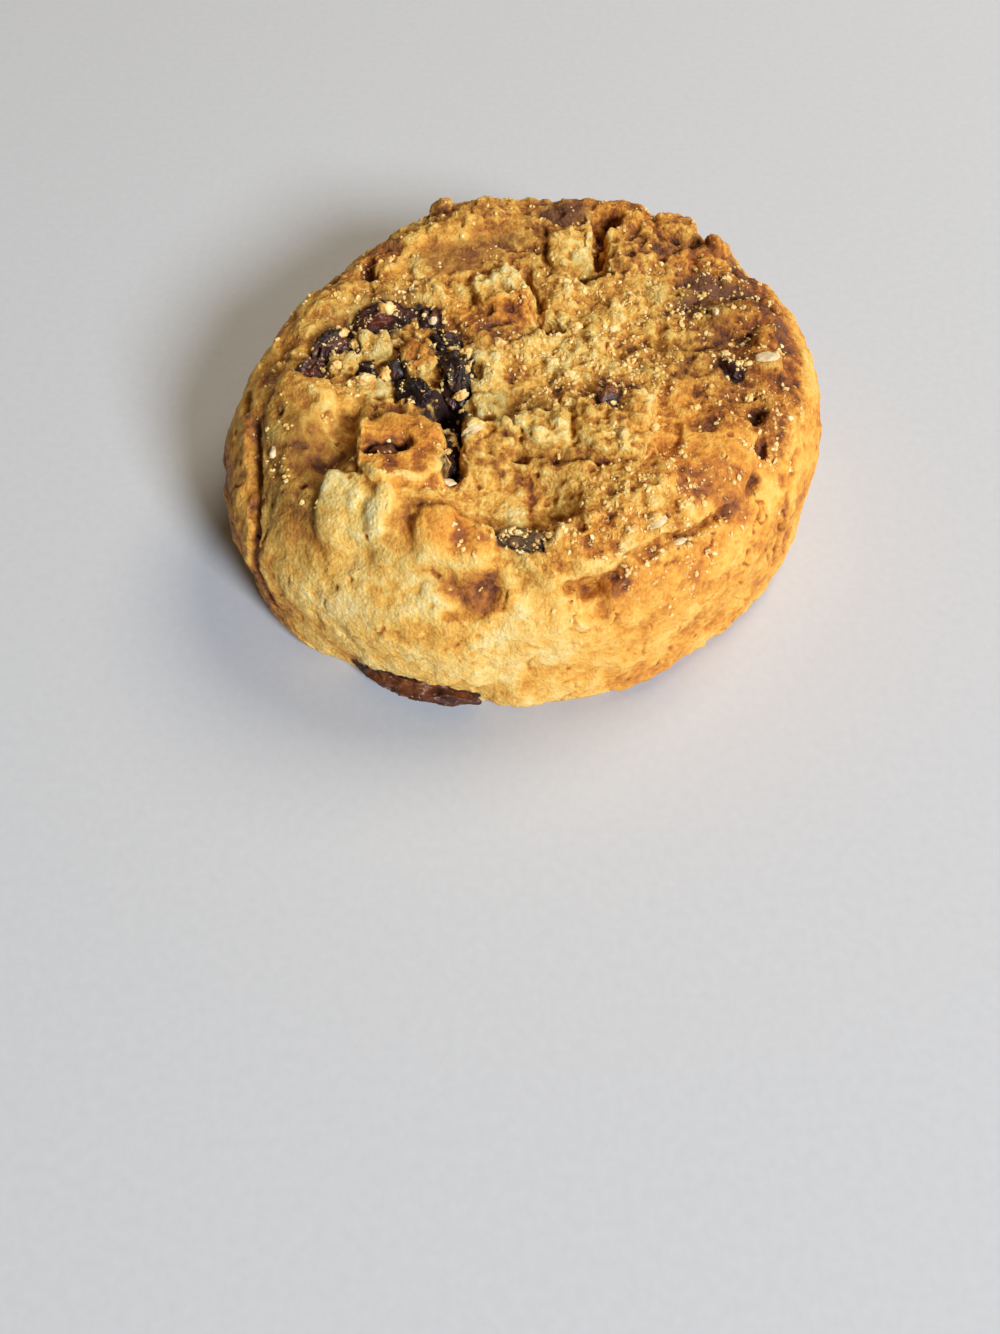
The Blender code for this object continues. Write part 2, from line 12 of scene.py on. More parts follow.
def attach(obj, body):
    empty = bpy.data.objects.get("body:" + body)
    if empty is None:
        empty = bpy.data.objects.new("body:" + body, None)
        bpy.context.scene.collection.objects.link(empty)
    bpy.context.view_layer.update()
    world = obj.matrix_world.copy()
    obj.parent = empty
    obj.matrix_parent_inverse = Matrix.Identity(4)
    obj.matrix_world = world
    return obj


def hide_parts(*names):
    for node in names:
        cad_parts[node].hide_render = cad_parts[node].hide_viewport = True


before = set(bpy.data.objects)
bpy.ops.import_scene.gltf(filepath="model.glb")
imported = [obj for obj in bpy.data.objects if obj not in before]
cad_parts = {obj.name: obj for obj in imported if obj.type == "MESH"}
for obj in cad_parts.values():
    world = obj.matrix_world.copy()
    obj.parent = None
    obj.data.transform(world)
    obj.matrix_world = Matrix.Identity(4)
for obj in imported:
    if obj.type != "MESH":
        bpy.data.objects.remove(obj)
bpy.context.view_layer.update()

mm = 0.001
planShift = (0.30, -0.45)   # puts the middle of the cookie's box on the origin


# Small maths

def smoothStep(low, high, value):
    t = np.clip((value - low) / (high - low), 0.0, 1.0)
    return t * t * (3.0 - 2.0 * t)


def angleBump(theta, middle, spread):
    away = np.abs((np.degrees(theta) - middle + 180.0) % 360.0 - 180.0)
    return 1.0 - smoothStep(0.55 * spread, spread, away)


def noiseField(x, y, z, length, seed):
    shift = Vector((17.3, 5.9, 11.1)) * seed
    spots = zip(x / length, y / length, z / length)
    return np.array([noise.noise(Vector(spot) + shift) for spot in spots])


def plateLevel(place, centre):
    chance = noise.cell_vector(centre)
    away = place - centre
    return chance.z - 0.5 + (chance.x - 0.5) * away.x + (chance.y - 0.5) * away.y


def plateField(x, y, z, size, seed, slope):
    # broken plates, each with its own level and tilt, meeting in a short slope
    shift = Vector((7.7, 3.1, 13.9)) * seed
    values = []
    for spot in zip(x / size, y / size, z / size):
        place = Vector(spot) + shift
        gaps, centres = noise.voronoi(place)
        own = plateLevel(place, centres[0])
        nextOne = plateLevel(place, centres[1])
        blend = max(0.0, 1.0 - (gaps[1] - gaps[0]) / slope)
        values.append(own + 0.5 * blend * (nextOne - own))
    return np.array(values)


def ovalDistance(x, y, at, size, turn=0.0, squareness=2.0):
    # rough distance from an oval's rim, negative inside
    cosine = math.cos(math.radians(turn))
    sine = math.sin(math.radians(turn))
    along = ((x - at[0]) * cosine + (y - at[1]) * sine) / size[0]
    across = ((y - at[1]) * cosine - (x - at[0]) * sine) / size[1]
    reach = np.power(np.abs(along) ** squareness + np.abs(across) ** squareness, 1.0 / squareness)
    return (reach - 1.0) * min(size)


def wayDistance(x, y, way):
    nearest = np.full(np.shape(x), 1e9)
    for start, end in zip(way[:-1], way[1:]):
        runX = end[0] - start[0]
        runY = end[1] - start[1]
        share = ((x - start[0]) * runX + (y - start[1]) * runY) / (runX**2 + runY**2)
        share = np.clip(share, 0.0, 1.0)
        away = np.hypot(x - start[0] - share * runX, y - start[1] - share * runY)
        nearest = np.minimum(nearest, away)
    return nearest


def wayDistance3(x, y, z, way):
    place = np.column_stack([x, y, z])
    nearest = np.full(len(place), 1e9)
    for start, end in zip(way[:-1], way[1:]):
        start = np.array(start)
        run = np.array(end) - start
        share = np.clip((place - start) @ run / (run @ run), 0.0, 1.0)
        away = np.linalg.norm(place - start - share[:, None] * run, axis=1)
        nearest = np.minimum(nearest, away)
    return nearest


def ballField(x, y, z, balls):
    # strongest of a set of soft balls, each at, radius and strength
    field = 0.0 * x
    for at, radius, strength in balls:
        away = np.sqrt((x - at[0])**2 + (y - at[1])**2 + (z - at[2])**2)
        field = np.maximum(field, strength * (1.0 - smoothStep(0.5 * radius, 1.4 * radius, away)))
    return field


def spotField(x, y, spots):
    # strongest of a set of soft-edged spots, each at, size, turn and strength
    field = 0.0 * x
    for at, size, turn, strength in spots:
        away = ovalDistance(x, y, at, size, turn)
        inside = 1.0 - smoothStep(-0.45 * min(size), 0.55 * min(size), away)
        field = np.maximum(field, strength * inside)
    return field


# The bare slab of dough, as in the frame

slab = {
    "radius": 34.8,
    "waves": ((2, 1.8, 0.4), (3, -0.6, 0.2), (4, 0.4, 0.0)),   # waves per turn, sine part, cosine part
    "height": 23.5,
    "footWidth": 2.2,
    "footHeight": 3.0,
    "shoulderWidth": 10.5,
    "shoulderHeight": 12.0,
    "slumpAngle": 232.0,
    "slumpSpread": 40.0,
    "slumpWidth": 3.0,
    "baseShare": 0.5,
}


def planRadius(theta):
    radius = slab["radius"] + 0.0 * theta
    for count, sinePart, cosinePart in slab["waves"]:
        radius = radius + sinePart * np.sin(count * theta) + cosinePart * np.cos(count * theta)
    return radius


def shoulderWidth(theta):
    slump = angleBump(theta, slab["slumpAngle"], slab["slumpSpread"])
    return slab["shoulderWidth"] + slab["slumpWidth"] * slump


def sectionPoint(station, outer, shoulder):
    # stations: 0-1 base, 1-2 foot, 2-3 wall, 3-4 shoulder, 4-5 top
    part = np.clip(np.floor(station), 0, 4)
    share = station - part
    turn = share * math.pi / 2.0
    footWidth = slab["footWidth"]
    footHeight = slab["footHeight"]
    wallTop = slab["height"] - slab["shoulderHeight"]
    stages = [part == 0, part == 1, part == 2, part == 3]
    radius = np.select(stages, [
        share * (outer - footWidth),
        outer - footWidth + footWidth * np.sin(turn),
        outer + 0.0 * share,
        outer - shoulder + shoulder * np.cos(turn),
    ], (1.0 - share) * (outer - shoulder))
    height = np.select(stages, [
        0.0 * share,
        footHeight * (1.0 - np.cos(turn)),
        footHeight + share * (wallTop - footHeight),
        wallTop + slab["shoulderHeight"] * np.sin(turn),
    ], slab["height"])
    return radius, height


def stationOfSphere(sphereHeight):
    # equal bands of a sphere take equal areas of the dough, with less for the base
    station = np.linspace(0.0, 5.0, 2001)
    radius, height = sectionPoint(station, slab["radius"], slab["shoulderWidth"])
    area = np.hypot(np.diff(radius), np.diff(height)) * (radius[1:] + radius[:-1])
    area[station[1:] <= 1.0] *= slab["baseShare"]
    total = np.concatenate([[0.0], np.cumsum(area)])
    return np.interp((sphereHeight + 1.0) / 2.0, total / total[-1], station)


def sectionHeight(x, y):
    theta = np.arctan2(y, x)
    width = shoulderWidth(theta)
    past = np.clip((np.hypot(x, y) - planRadius(theta) + width) / width, 0.0, 1.0)
    return slab["height"] - slab["shoulderHeight"] * (1.0 - np.sqrt(1.0 - past * past))


# Relief of the top: what the frame has, and finer pieces of the same kinds

relief = {
    "plates": {   # at, half sizes, turn, height, edge
        "lip": ((-14.2, -15.9), (4.2, 4.8), 3, 1.8, 0.5),
        "lipBulge": ((-8.3, -26.9), (3.9, 2.8), -20, 1.5, 1.2),
        "lipSlope": ((-12.8, -24.6), (4.4, 3.8), -15, 1.2, 2.0),
        "paleLump": ((-18.6, -22.6), (4.0, 3.3), -12, 1.4, 1.1),
        "leftChunk": ((-25.6, -8.9), (3.6, 4.4), -15, 0.9, 1.2),
        "leftBrow": ((-26.5, 8.5), (3.0, 5.0), -25, 0.5, 1.6),
        "northPlate": ((-3.6, 9.9), (3.1, 3.0), 25, 1.2, 0.45),
        "northBoss": ((-2.5, 6.6), (2.3, 1.5), 0, 1.0, 0.8),
        "channelPlate": ((5.3, 16.6), (2.8, 3.0), 0, 1.3, 0.45),
        "eastPlate": ((12.5, 16.0), (3.0, 2.2), 15, 0.9, 0.5),
        "rimKnob": ((18.4, 23.2), (2.5, 2.7), 0, 1.3, 1.0),
        "rimCrust": ((12.8, 25.6), (3.4, 1.6), -8, 0.8, 0.7),
        "rimTooth": ((23.4, 20.6), (1.3, 1.8), 20, 1.4, 0.7),
        "rimPoint": ((-10.9, 26.4), (1.2, 1.3), 0, 1.3, 0.8),
        "farLump": ((-6.0, 23.2), (2.7, 2.2), 20, 0.9, 0.6),
        "farLumpLeft": ((-9.6, 20.8), (2.4, 2.0), 30, 0.7, 0.6),
        "orangeLump": ((22.3, 14.0), (2.0, 2.0), 0, 0.9, 0.8),
        "brow": ((23.4, 6.6), (2.8, 1.6), 0, 0.8, 0.9),
        "innerPlate": ((-4.8, -7.4), (1.8, 3.0), 5, 1.2, 0.5),
        "brightPlate": ((1.0, -12.4), (2.6, 2.5), 0, 1.6, 0.4),
        "raggedPlate": ((-5.4, -14.4), (3.2, 2.3), -10, 1.4, 0.35),
        "ledge": ((8.9, -12.0), (4.2, 4.3), 0, 1.3, 0.35),
        "nearPlate": ((10.6, -19.2), (4.4, 2.6), 10, 0.6, 0.5),
        "nearRim": ((7.0, -27.2), (7.5, 2.2), 17, 0.8, 1.0),
        "oatFlake": ((26.6, -2.0), (1.5, 0.8), 8, 0.5, 0.25),
        "raisinChunk": ((-12.8, -1.2), (1.7, 2.6), 5, 2.1, 0.6),
        "goldenChunk": ((-18.0, 1.1), (1.9, 1.6), 20, 1.9, 0.6),
        "westChunk": ((-21.3, -1.7), (1.4, 1.5), 0, 1.5, 0.6),
        "lowChunk": ((-18.4, -5.0), (2.6, 1.4), 0, 1.2, 0.6),
        "paleChunk": ((-17.4, -8.2), (1.8, 1.7), 0, 0.9, 0.5),
    },
    "hollows": {   # at, half sizes, turn, depth, edge
        "basin": ((-2.2, -21.6), (6.2, 3.7), -6, 2.6, 2.0),
        "raisinHollow": ((-16.2, 0.6), (9.0, 7.8), 0, 1.3, 1.4),
        "crevice": ((-9.0, -13.0), (1.6, 5.6), 5, 4.0, 0.8),
        "northHole": ((7.8, 13.6), (1.9, 1.3), 0, 3.6, 0.5),
        "northBay": ((9.9, 22.8), (1.9, 2.0), -20, 2.0, 0.8),
        "knobPocket": ((17.2, 20.0), (2.0, 1.0), 10, 2.3, 0.6),
        "rimNotch": ((21.2, 21.0), (0.7, 2.2), -35, 2.4, 0.5),
        "middleHole": ((1.7, 4.4), (1.6, 1.1), 0, 2.6, 0.6),
        "smallHole": ((-1.6, -15.8), (1.5, 0.9), -15, 2.0, 0.45),
        "farLeftPocket": ((-19.6, 14.3), (0.9, 1.9), 10, 2.0, 0.5),
        "leftDip": ((-21.6, -13.4), (2.5, 3.9), 5, 2.0, 1.9),
        "lipPit": ((-15.6, -15.7), (2.6, 1.2), 5, 2.4, 0.7),
        "greyDip": ((14.2, 2.4), (1.5, 2.3), -20, 1.0, 0.8),
        "ledgeFoot": ((14.3, -11.5), (1.6, 4.4), 0, 0.9, 0.8),
        "rightPit": ((24.6, -9.4), (0.9, 0.9), 0, 1.3, 0.5),
        "rightPitLow": ((24.8, -13.4), (0.7, 1.2), -20, 1.4, 0.5),
        "rightDip": ((18.4, -11.4), (1.7, 1.1), 10, 0.5, 0.6),
        "orangeDip": ((-6.1, -31.0), (2.8, 1.5), 0, 1.3, 0.8),
        "foldPit": ((6.2, -30.9), (1.7, 1.2), 20, 1.5, 0.5),
    },
    "cracks": {   # way, half width, depth
        "channel": (((8.0, 14.0), (8.4, 18.0), (8.8, 21.5), (10.5, 24.0)), 0.9, 2.2),
        "northSlot": (((-0.4, 13.6), (-0.2, 11.0), (0.9, 8.6), (0.9, 6.2)), 0.7, 2.0),
        "farCrack": (((-4.4, 19.2), (-1.6, 17.2), (0.6, 17.8)), 0.5, 0.9),
        "rightCrack": (((17.2, 0.2), (18.6, 0.7), (20.6, 2.1)), 0.5, 1.0),
        "purpleArc": (((18.4, 7.6), (20.2, 9.7), (22.6, 10.3), (25.2, 9.3)), 0.7, 1.0),
        "farPurple": (((1.4, 24.4), (3.8, 22.3), (6.6, 22.8)), 0.7, 1.0),
        "middleCrack": (((0.4, -15.6), (3.5, -16.2), (7.2, -16.6)), 0.6, 1.0),
    },
    "plateSquareness": 3.0,
    "hollowSquareness": 2.2,
    "crackFloor": 0.2,
    "crackSides": 1.4,
    "calm": {   # smooth stretches: at, half sizes
        "farLeft": ((-7.0, 17.0), (7.0, 4.0)),
        "basin": ((-2.4, -21.2), (7.0, 4.4)),
        "nearRight": ((20.5, -17.5), (7.0, 6.5)),
        "raisinField": ((-16.0, 2.0), (9.5, 7.5)),
        "lip": ((-14.2, -17.6), (5.0, 7.5)),
        "bulge": ((-9.5, -27.0), (6.0, 3.8)),
    },
    "fineCalm": {   # smooth only in the fine grain: at, half sizes
        "farLeft": ((-8.5, 17.5), (6.5, 3.8)),
        "nearRight": ((20.5, -17.5), (7.0, 6.5)),
        "lip": ((-13.8, -17.6), (5.2, 7.6)),
        "bulge": ((-9.5, -27.0), (6.0, 3.8)),
        "purple": ((21.8, 9.6), (4.5, 2.4)),
        "pale": ((-20.0, -23.0), (5.0, 4.5)),
        "leftValley": ((-23.5, -12.5), (5.0, 8.0)),
        "leftSide": ((-30.0, 0.0), (4.5, 16.0)),
    },
    "seams": {   # way in space, half width, depth
        "left": (((-32.8, -3.9, 19.7), (-31.3, -8.4, 21.1), (-30.6, -12.4, 20.5), (-30.2, -17.7, 18.4),
                  (-30.1, -20.3, 16.4), (-30.6, -21.4, 12.0), (-29.6, -23.0, 6.9)), 0.9, 1.3),
        "right": (((29.5, -11.7, 19.0), (28.6, -14.6, 18.1), (27.9, -18.1, 14.6), (28.0, -18.5, 10.6),
                   (28.6, -17.7, 6.7)), 0.7, 1.0),
        "fold": (((3.5, -30.6, 19.5), (5.6, -30.2, 19.5), (7.7, -29.4, 19.8), (10.8, -27.6, 20.5),
                  (12.9, -26.3, 20.8), (17.3, -23.8, 20.7), (19.6, -21.9, 20.8), (22.6, -19.5, 20.5),
                  (23.8, -17.2, 21.0)), 0.75, 1.3),
        "slump": (((-24.8, -21.7, 20.3), (-23.8, -23.2, 20.0), (-22.9, -25.0, 19.2), (-22.4, -26.7, 17.7),
                   (-21.8, -28.2, 16.1)), 0.8, 0.4),
    },
    "slits": {   # fine cracks, also painted dark inside as shade: way in space, half width, depth
        "bulge": (((-13.5, -27.8, 20.6), (-12.6, -28.3, 20.6), (-11.8, -28.4, 20.5), (-10.6, -28.8, 20.4),
                   (-9.9, -29.3, 20.1)), 0.38, 1.0),
        "near": (((-9.5, -32.0, 16.8), (-8.6, -32.2, 16.9), (-7.5, -32.0, 17.4)), 0.45, 0.9),
        "nearDot": (((-3.5, -31.8, 18.7), (-3.5, -32.0, 18.0)), 0.35, 0.9),
        "leftSlot": (((-27.2, -10.2, 22.8), (-26.4, -11.6, 22.8), (-25.8, -13.0, 22.7)), 0.36, 0.8),
        "leftDot": (((-24.6, -18.6, 21.8), (-24.5, -18.9, 21.7)), 0.4, 0.7),
        "valley": (((-24.0, -10.0, 23.3), (-22.8, -10.3, 23.4), (-22.5, -9.6, 23.4)), 0.3, 0.5),
        "lowRight": (((21.8, -25.0, 6.9), (21.2, -25.5, 6.0), (20.5, -26.1, 5.4)), 0.6, 0.8),
        "lowLeft": (((-17.0, -31.5, 12.8), (-16.2, -31.6, 13.4), (-15.8, -31.6, 14.2)), 0.3, 0.6),
        "lowMiddle": (((-6.8, -33.8, 12.0), (-5.6, -33.6, 13.0)), 0.3, 0.5),
    },
    "leftLobe": (199.0, 24.0, 12.0, 7.0, 0.6),   # angle, spread, middle height, half height, stands out by
    "footDent": (246.0, 22.0, 3.0, 7.0, 1.0),    # angle, spread, heights it fades between, depth
}


def featureRelief(x, y, blunt=1.0):
    # blunt below 1 makes the torn edges steeper
    rise = 0.0 * x
    for at, size, turn, height, edge in relief["plates"].values():
        away = ovalDistance(x, y, at, size, turn, relief["plateSquareness"])
        rise += height * (1.0 - smoothStep(-edge * blunt, edge * blunt, away))
    for at, size, turn, depth, edge in relief["hollows"].values():
        away = ovalDistance(x, y, at, size, turn, relief["hollowSquareness"])
        rise -= depth * (1.0 - smoothStep(-edge * blunt, edge * blunt, away))
    for way, width, depth in relief["cracks"].values():
        away = wayDistance(x, y, way) / width
        rise -= depth * (1.0 - smoothStep(relief["crackFloor"], relief["crackSides"], away))
    return rise


def featureLean(x, y, blunt):
    # the top of a torn edge leans out over its foot
    leanX = 0.0 * x
    leanY = 0.0 * x
    for at, size, turn, height, edge in relief["plates"].values():
        away = ovalDistance(x, y, at, size, turn, relief["plateSquareness"])
        share = 1.0 - smoothStep(-edge * blunt, edge * blunt, away)
        lean = height * 2.0 * share * (1.0 - share) * (share - 0.3)
        reach = np.maximum(np.hypot(x - at[0], y - at[1]), 0.5)
        leanX += lean * (x - at[0]) / reach
        leanY += lean * (y - at[1]) / reach
    return leanX, leanY


def calmShare(x, y, kind="calm"):
    calm = 0.0 * x
    for at, size in relief[kind].values():
        calm = np.maximum(calm, 1.0 - smoothStep(-1.5, 1.5, ovalDistance(x, y, at, size)))
    return calm


def seamDepth(x, y, z, ways, wander=0.0):
    # wander, from noise, makes a seam deeper and shallower along its way
    depth = 0.0 * x
    for way, width, deep in ways.values():
        away = wayDistance3(x, y, z, way) / width
        depth += deep * (1.0 - smoothStep(relief["crackFloor"], relief["crackSides"], away))
    return depth * np.clip(0.85 + 1.6 * wander, 0.25, 1.25)


def readPoints(mesh, kind):
    points = np.empty(len(mesh.vertices) * 3)
    mesh.vertices.foreach_get(kind, points)
    return points.reshape(-1, 3)


def writePlaces(mesh, places):
    mesh.vertices.foreach_set("co", places.ravel())
    mesh.update()


def newObject(name, bm):
    mesh = bpy.data.meshes.new(name)
    bm.to_mesh(mesh)
    bm.free()
    thing = bpy.data.objects.new(name, mesh)
    bpy.context.scene.collection.objects.link(thing)
    return thing


def bakeModifiers(thing):
    graph = bpy.context.evaluated_depsgraph_get()
    baked = bpy.data.meshes.new_from_object(thing.evaluated_get(graph))
    thing.modifiers.clear()
    thing.data = baked


def toFrame(thing):
    # millimetres to metres, with the cookie's box centred on the origin
    move = Matrix.Translation((planShift[0], planShift[1], 0.0))
    thing.data.transform(Matrix.Scale(mm, 4) @ move)
    thing.data.update()


def wanderedPlaces(x, y, z, steps):
    # plan places shifted by noise, each step length, reach and the seeds of x and y
    wanderedX = x + 0.0
    wanderedY = y + 0.0
    for length, reach, seedX, seedY in steps:
        wanderedX += reach * noiseField(x, y, z, length, seedX)
        wanderedY += reach * noiseField(x, y, z, length, seedY)
    return wanderedX, wanderedY


doughLook = {   # pairs are size and height, warps are length, reach and two seeds
    "subdivisions": 8,
    "voxel": 0.28,
    "triangles": 194000,
    "coarsePlate": (5.2, 1.1),
    "finePlate": (2.3, 0.8),
    "smallPlate": (1.15, 0.50),
    "swell": (13.0, 0.8),
    "wallSwell": (9.0, 0.5),
    "wallGrain": 0.25,
    "warps": ((2.6, 0.55, 1, 2), (1.3, 0.30, 31, 32), (0.7, 0.15, 33, 34)),
    "slitWarps": ((0.9, 0.25, 35, 36),),
    "seamWarp": 0.6,        # share of the warp that the seams take
    "seamWander": (3.5, 41),
    "plateSlope": 0.22,
    "smallSlope": 0.3,
    "wallSlope": 0.12,
    "blunt": 0.6,
    "grains": (0.75, 0.30),
    "leastGrains": 0.25,
    "sand": (0.55, 0.17),
    "wallFlake": (2.9, 0.30),
    "wallLumps": (2.4, 0.22),
    "wallGrains": (0.90, 0.12),
    "wallSand": (0.60, 0.17),
    "calmLoss": 0.75,       # share of the plates that the smooth stretches lose
    "fineCalmLoss": 0.5,
    "rimLoss": 0.4,
    "hairCrack": (4.2, 0.30),
    "hairTop": (19.0, 21.0),
    "pit": (2.2, 0.40),
    "noPit": 0.1,
    "lipPush": 1.1,
    "ragged": [   # at, half sizes, turn, how much stronger the small plates are
        ((-17, 0), (8, 7.5), 0, 1), ((-4, 10.5), (4.5, 4.5), 0, 0.9), ((6, 16.5), (4.5, 4.5), 0, 0.9),
        ((-5, -7), (4, 7), 0, 0.9), ((7, 3), (8, 7), 0, 0.5), ((7, -12), (7, 4.5), 0, 0.7),
        ((13, 16), (4, 3), 0, 0.6),
    ],
    "granular": [   # at, half sizes, turn, strength
        ((6, 1), (8, 8), 0, 1), ((-5, -3), (3, 6), 0, 0.8), ((-17, 0), (7, 6), 0, 0.9),
        ((14, 8), (8, 5), 0, 0.6), ((2, 24), (8, 5), 0, 0.4), ((16, -21), (8, 6), 30, 0.6),
        ((-16, 13), (3.5, 3.5), 0, 0.6), ((24, -6), (5, 9), 0, 0.5), ((-3, 12.5), (3.6, 3.6), 0, 0.8),
        ((5.5, 18), (3.6, 4.2), 0, 0.8),
    ],
}


def grainField(x, y, z, size, seed):
    # rounded grains packed side by side
    shift = Vector((7.7, 3.1, 13.9)) * seed
    spots = zip(x / size, y / size, z / size)
    away = np.array([noise.voronoi(Vector(spot) + shift)[0][0] for spot in spots])
    return 0.45 - np.minimum(away, 0.9) ** 2


def doughGrain(kind, name, x, y, z, seed, *slope):
    # one kind of grain over the dough, with its size and height
    size, height = doughLook[name]
    return height * kind(x, y, z, size, seed, *slope)


def tornMarks(x, y, z):
    # hair cracks that come and go, and small pits scattered between them
    length = doughLook["hairCrack"][0]
    wander = 0.16 * noiseField(x, y, z, 1.3, 39)
    line = 1.0 - smoothStep(0.0, 0.06, np.abs(noiseField(x, y, z, length, 37) + wander))
    hair = line * smoothStep(0.10, 0.26, noiseField(x, y, z, 0.8 * length, 38))
    hair *= (1.0 - smoothStep(*doughLook["hairTop"], z))
    size = doughLook["pit"][0]
    pits = np.full(len(x), 9.0)
    for number, spot in enumerate(zip(x / size, y / size, z / size)):
        gaps, centres = noise.voronoi(Vector(spot) + Vector((5.1, 2.3, 8.9)))
        if noise.cell(centres[0] * 3.0) > doughLook["noPit"]:
            pits[number] = gaps[0]
    return hair, 1.0 - smoothStep(0.08, 0.2, pits)


def makeSlab():
    look = doughLook
    bm = bmesh.new()
    bmesh.ops.create_icosphere(bm, subdivisions=look["subdivisions"], radius=1.0)
    thing = newObject("doughBody", bm)
    sphere = readPoints(thing.data, "co")
    theta = np.arctan2(sphere[:, 1], sphere[:, 0])
    station = stationOfSphere(sphere[:, 2])
    radius, z = sectionPoint(station, planRadius(theta), shoulderWidth(theta))
    x = radius * np.cos(theta)
    y = radius * np.sin(theta)
    writePlaces(thing.data, np.column_stack([x, y, z]))
    up = readPoints(thing.data, "normal")[:, 2]

    # torn edges wander, so features are read at slightly shifted places
    warpedX, warpedY = wanderedPlaces(x, y, z, look["warps"])
    topShare = smoothStep(0.25, 0.75, up)
    onTop = smoothStep(0.1, 0.4, up)
    offBase = smoothStep(1.0, 1.5, station)
    wallShare = (1.0 - topShare) * offBase

    rough = 1.0 - look["calmLoss"] * calmShare(x, y)
    grain = doughGrain(plateField, "coarsePlate", x, y, z, 3, look["plateSlope"])
    grain += doughGrain(plateField, "finePlate", x, y, z, 4, look["plateSlope"])
    swell = doughGrain(noiseField, "swell", x, y, z, 5)
    features = featureRelief(warpedX, warpedY, look["blunt"]) * onTop
    rise = features + topShare * (swell + rough * grain)

    wallSwell = doughGrain(noiseField, "wallSwell", x, y, z, 7) + look["wallGrain"] * grain
    angle, spread, middle, half, out = relief["leftLobe"]
    lobe = out * angleBump(theta, angle, spread) * np.clip(1.0 - ((z - middle) / half)**2, 0.0, 1.0)
    angle, spread, low, high, depth = relief["footDent"]
    dent = depth * angleBump(theta, angle, spread) * (1.0 - smoothStep(low, high, z)) * offBase
    push = wallShare * wallSwell + lobe * offBase - dent
    outward = np.column_stack([np.cos(theta), np.sin(theta), 0.0 * z])
    places = np.column_stack([x, y, z + rise]) + outward * push[:, None]
    tornX = x + look["seamWarp"] * (warpedX - x)
    tornY = y + look["seamWarp"] * (warpedY - y)
    wander = noiseField(x, y, z, *look["seamWander"])
    seams = seamDepth(tornX, tornY, z, relief["seams"], wander)
    places -= readPoints(thing.data, "normal") * seams[:, None]
    leanX, leanY = featureLean(warpedX, warpedY, look["blunt"])
    places[:, 0] += leanX * onTop
    places[:, 1] += leanY * onTop

    # the lip's right edge leans out over the crevice
    lip = relief["plates"]["lip"][:3]
    lipAway = ovalDistance(warpedX, warpedY, *lip, relief["plateSquareness"])
    lean = np.exp(-(lipAway / 0.9) ** 2) * smoothStep(-12.3, -10.5, x)
    lean *= 1.0 - smoothStep(-1.0, 1.2, lipAway)
    places[:, 0] += look["lipPush"] * lean
    places[:, 2] = np.where(station <= 1.0, 0.0, np.maximum(places[:, 2], 0.0))
    writePlaces(thing.data, places)
    return thing


def makeDough():
    look = doughLook
    thing = makeSlab()
    remesh = thing.modifiers.new("even skin", "REMESH")
    remesh.mode = "VOXEL"
    remesh.voxel_size = look["voxel"]
    bakeModifiers(thing)

    # crumbly grain, stronger on the torn top than on the wall
    places = readPoints(thing.data, "co")
    normals = readPoints(thing.data, "normal")
    x, y, z = places.T
    up = normals[:, 2]
    topShare = smoothStep(0.1, 0.6, up) * smoothStep(13.0, 19.0, z)
    rough = 1.0 - look["fineCalmLoss"] * calmShare(x, y, "fineCalm")
    rough *= 1.0 - look["rimLoss"] * smoothStep(26.0, 31.0, np.hypot(x, y))
    granular = spotField(x, y, look["granular"])
    granular *= smoothStep(-0.25, 0.2, noiseField(x, y, z, 3.0, 13))
    size, height = look["smallPlate"]
    ragged = 1.0 + spotField(x, y, look["ragged"])
    fine = height * ragged * plateField(x, y, z, size, 11, look["smallSlope"])
    size, height = look["grains"]
    fine += height * np.maximum(granular, look["leastGrains"]) * grainField(x, y, z, size, 17)
    fine += doughGrain(noiseField, "sand", x, y, z, 12)
    wallFine = doughGrain(noiseField, "wallLumps", x, y, z, 15)
    wallFine += doughGrain(noiseField, "wallSand", x, y, z, 16)
    wallFine += doughGrain(grainField, "wallGrains", x, y, z, 18)
    wallFine += doughGrain(plateField, "wallFlake", x, y, z, 19, look["wallSlope"])
    hair, pits = tornMarks(x, y, z)
    raised = topShare * rough * fine + (1.0 - topShare) * wallFine * smoothStep(0.0, 1.0, z)
    raised -= (look["hairCrack"][1] * hair + look["pit"][1] * pits) * smoothStep(0.2, 1.2, z)
    tornX, tornY = wanderedPlaces(x, y, z, look["slitWarps"])
    raised -= seamDepth(tornX, tornY, z, relief["slits"])
    flat = (z < 0.05) & (up < -0.9)
    raised[flat] = 0.0
    places = places + normals * raised[:, None]
    places[:, 2] = np.maximum(places[:, 2], 0.0)
    writePlaces(thing.data, places)

    reduce = thing.modifiers.new("reduce", "DECIMATE")
    reduce.ratio = look["triangles"] / sum(len(face.vertices) - 2 for face in thing.data.polygons)
    bakeModifiers(thing)
    thing.data.shade_smooth()
    return thing
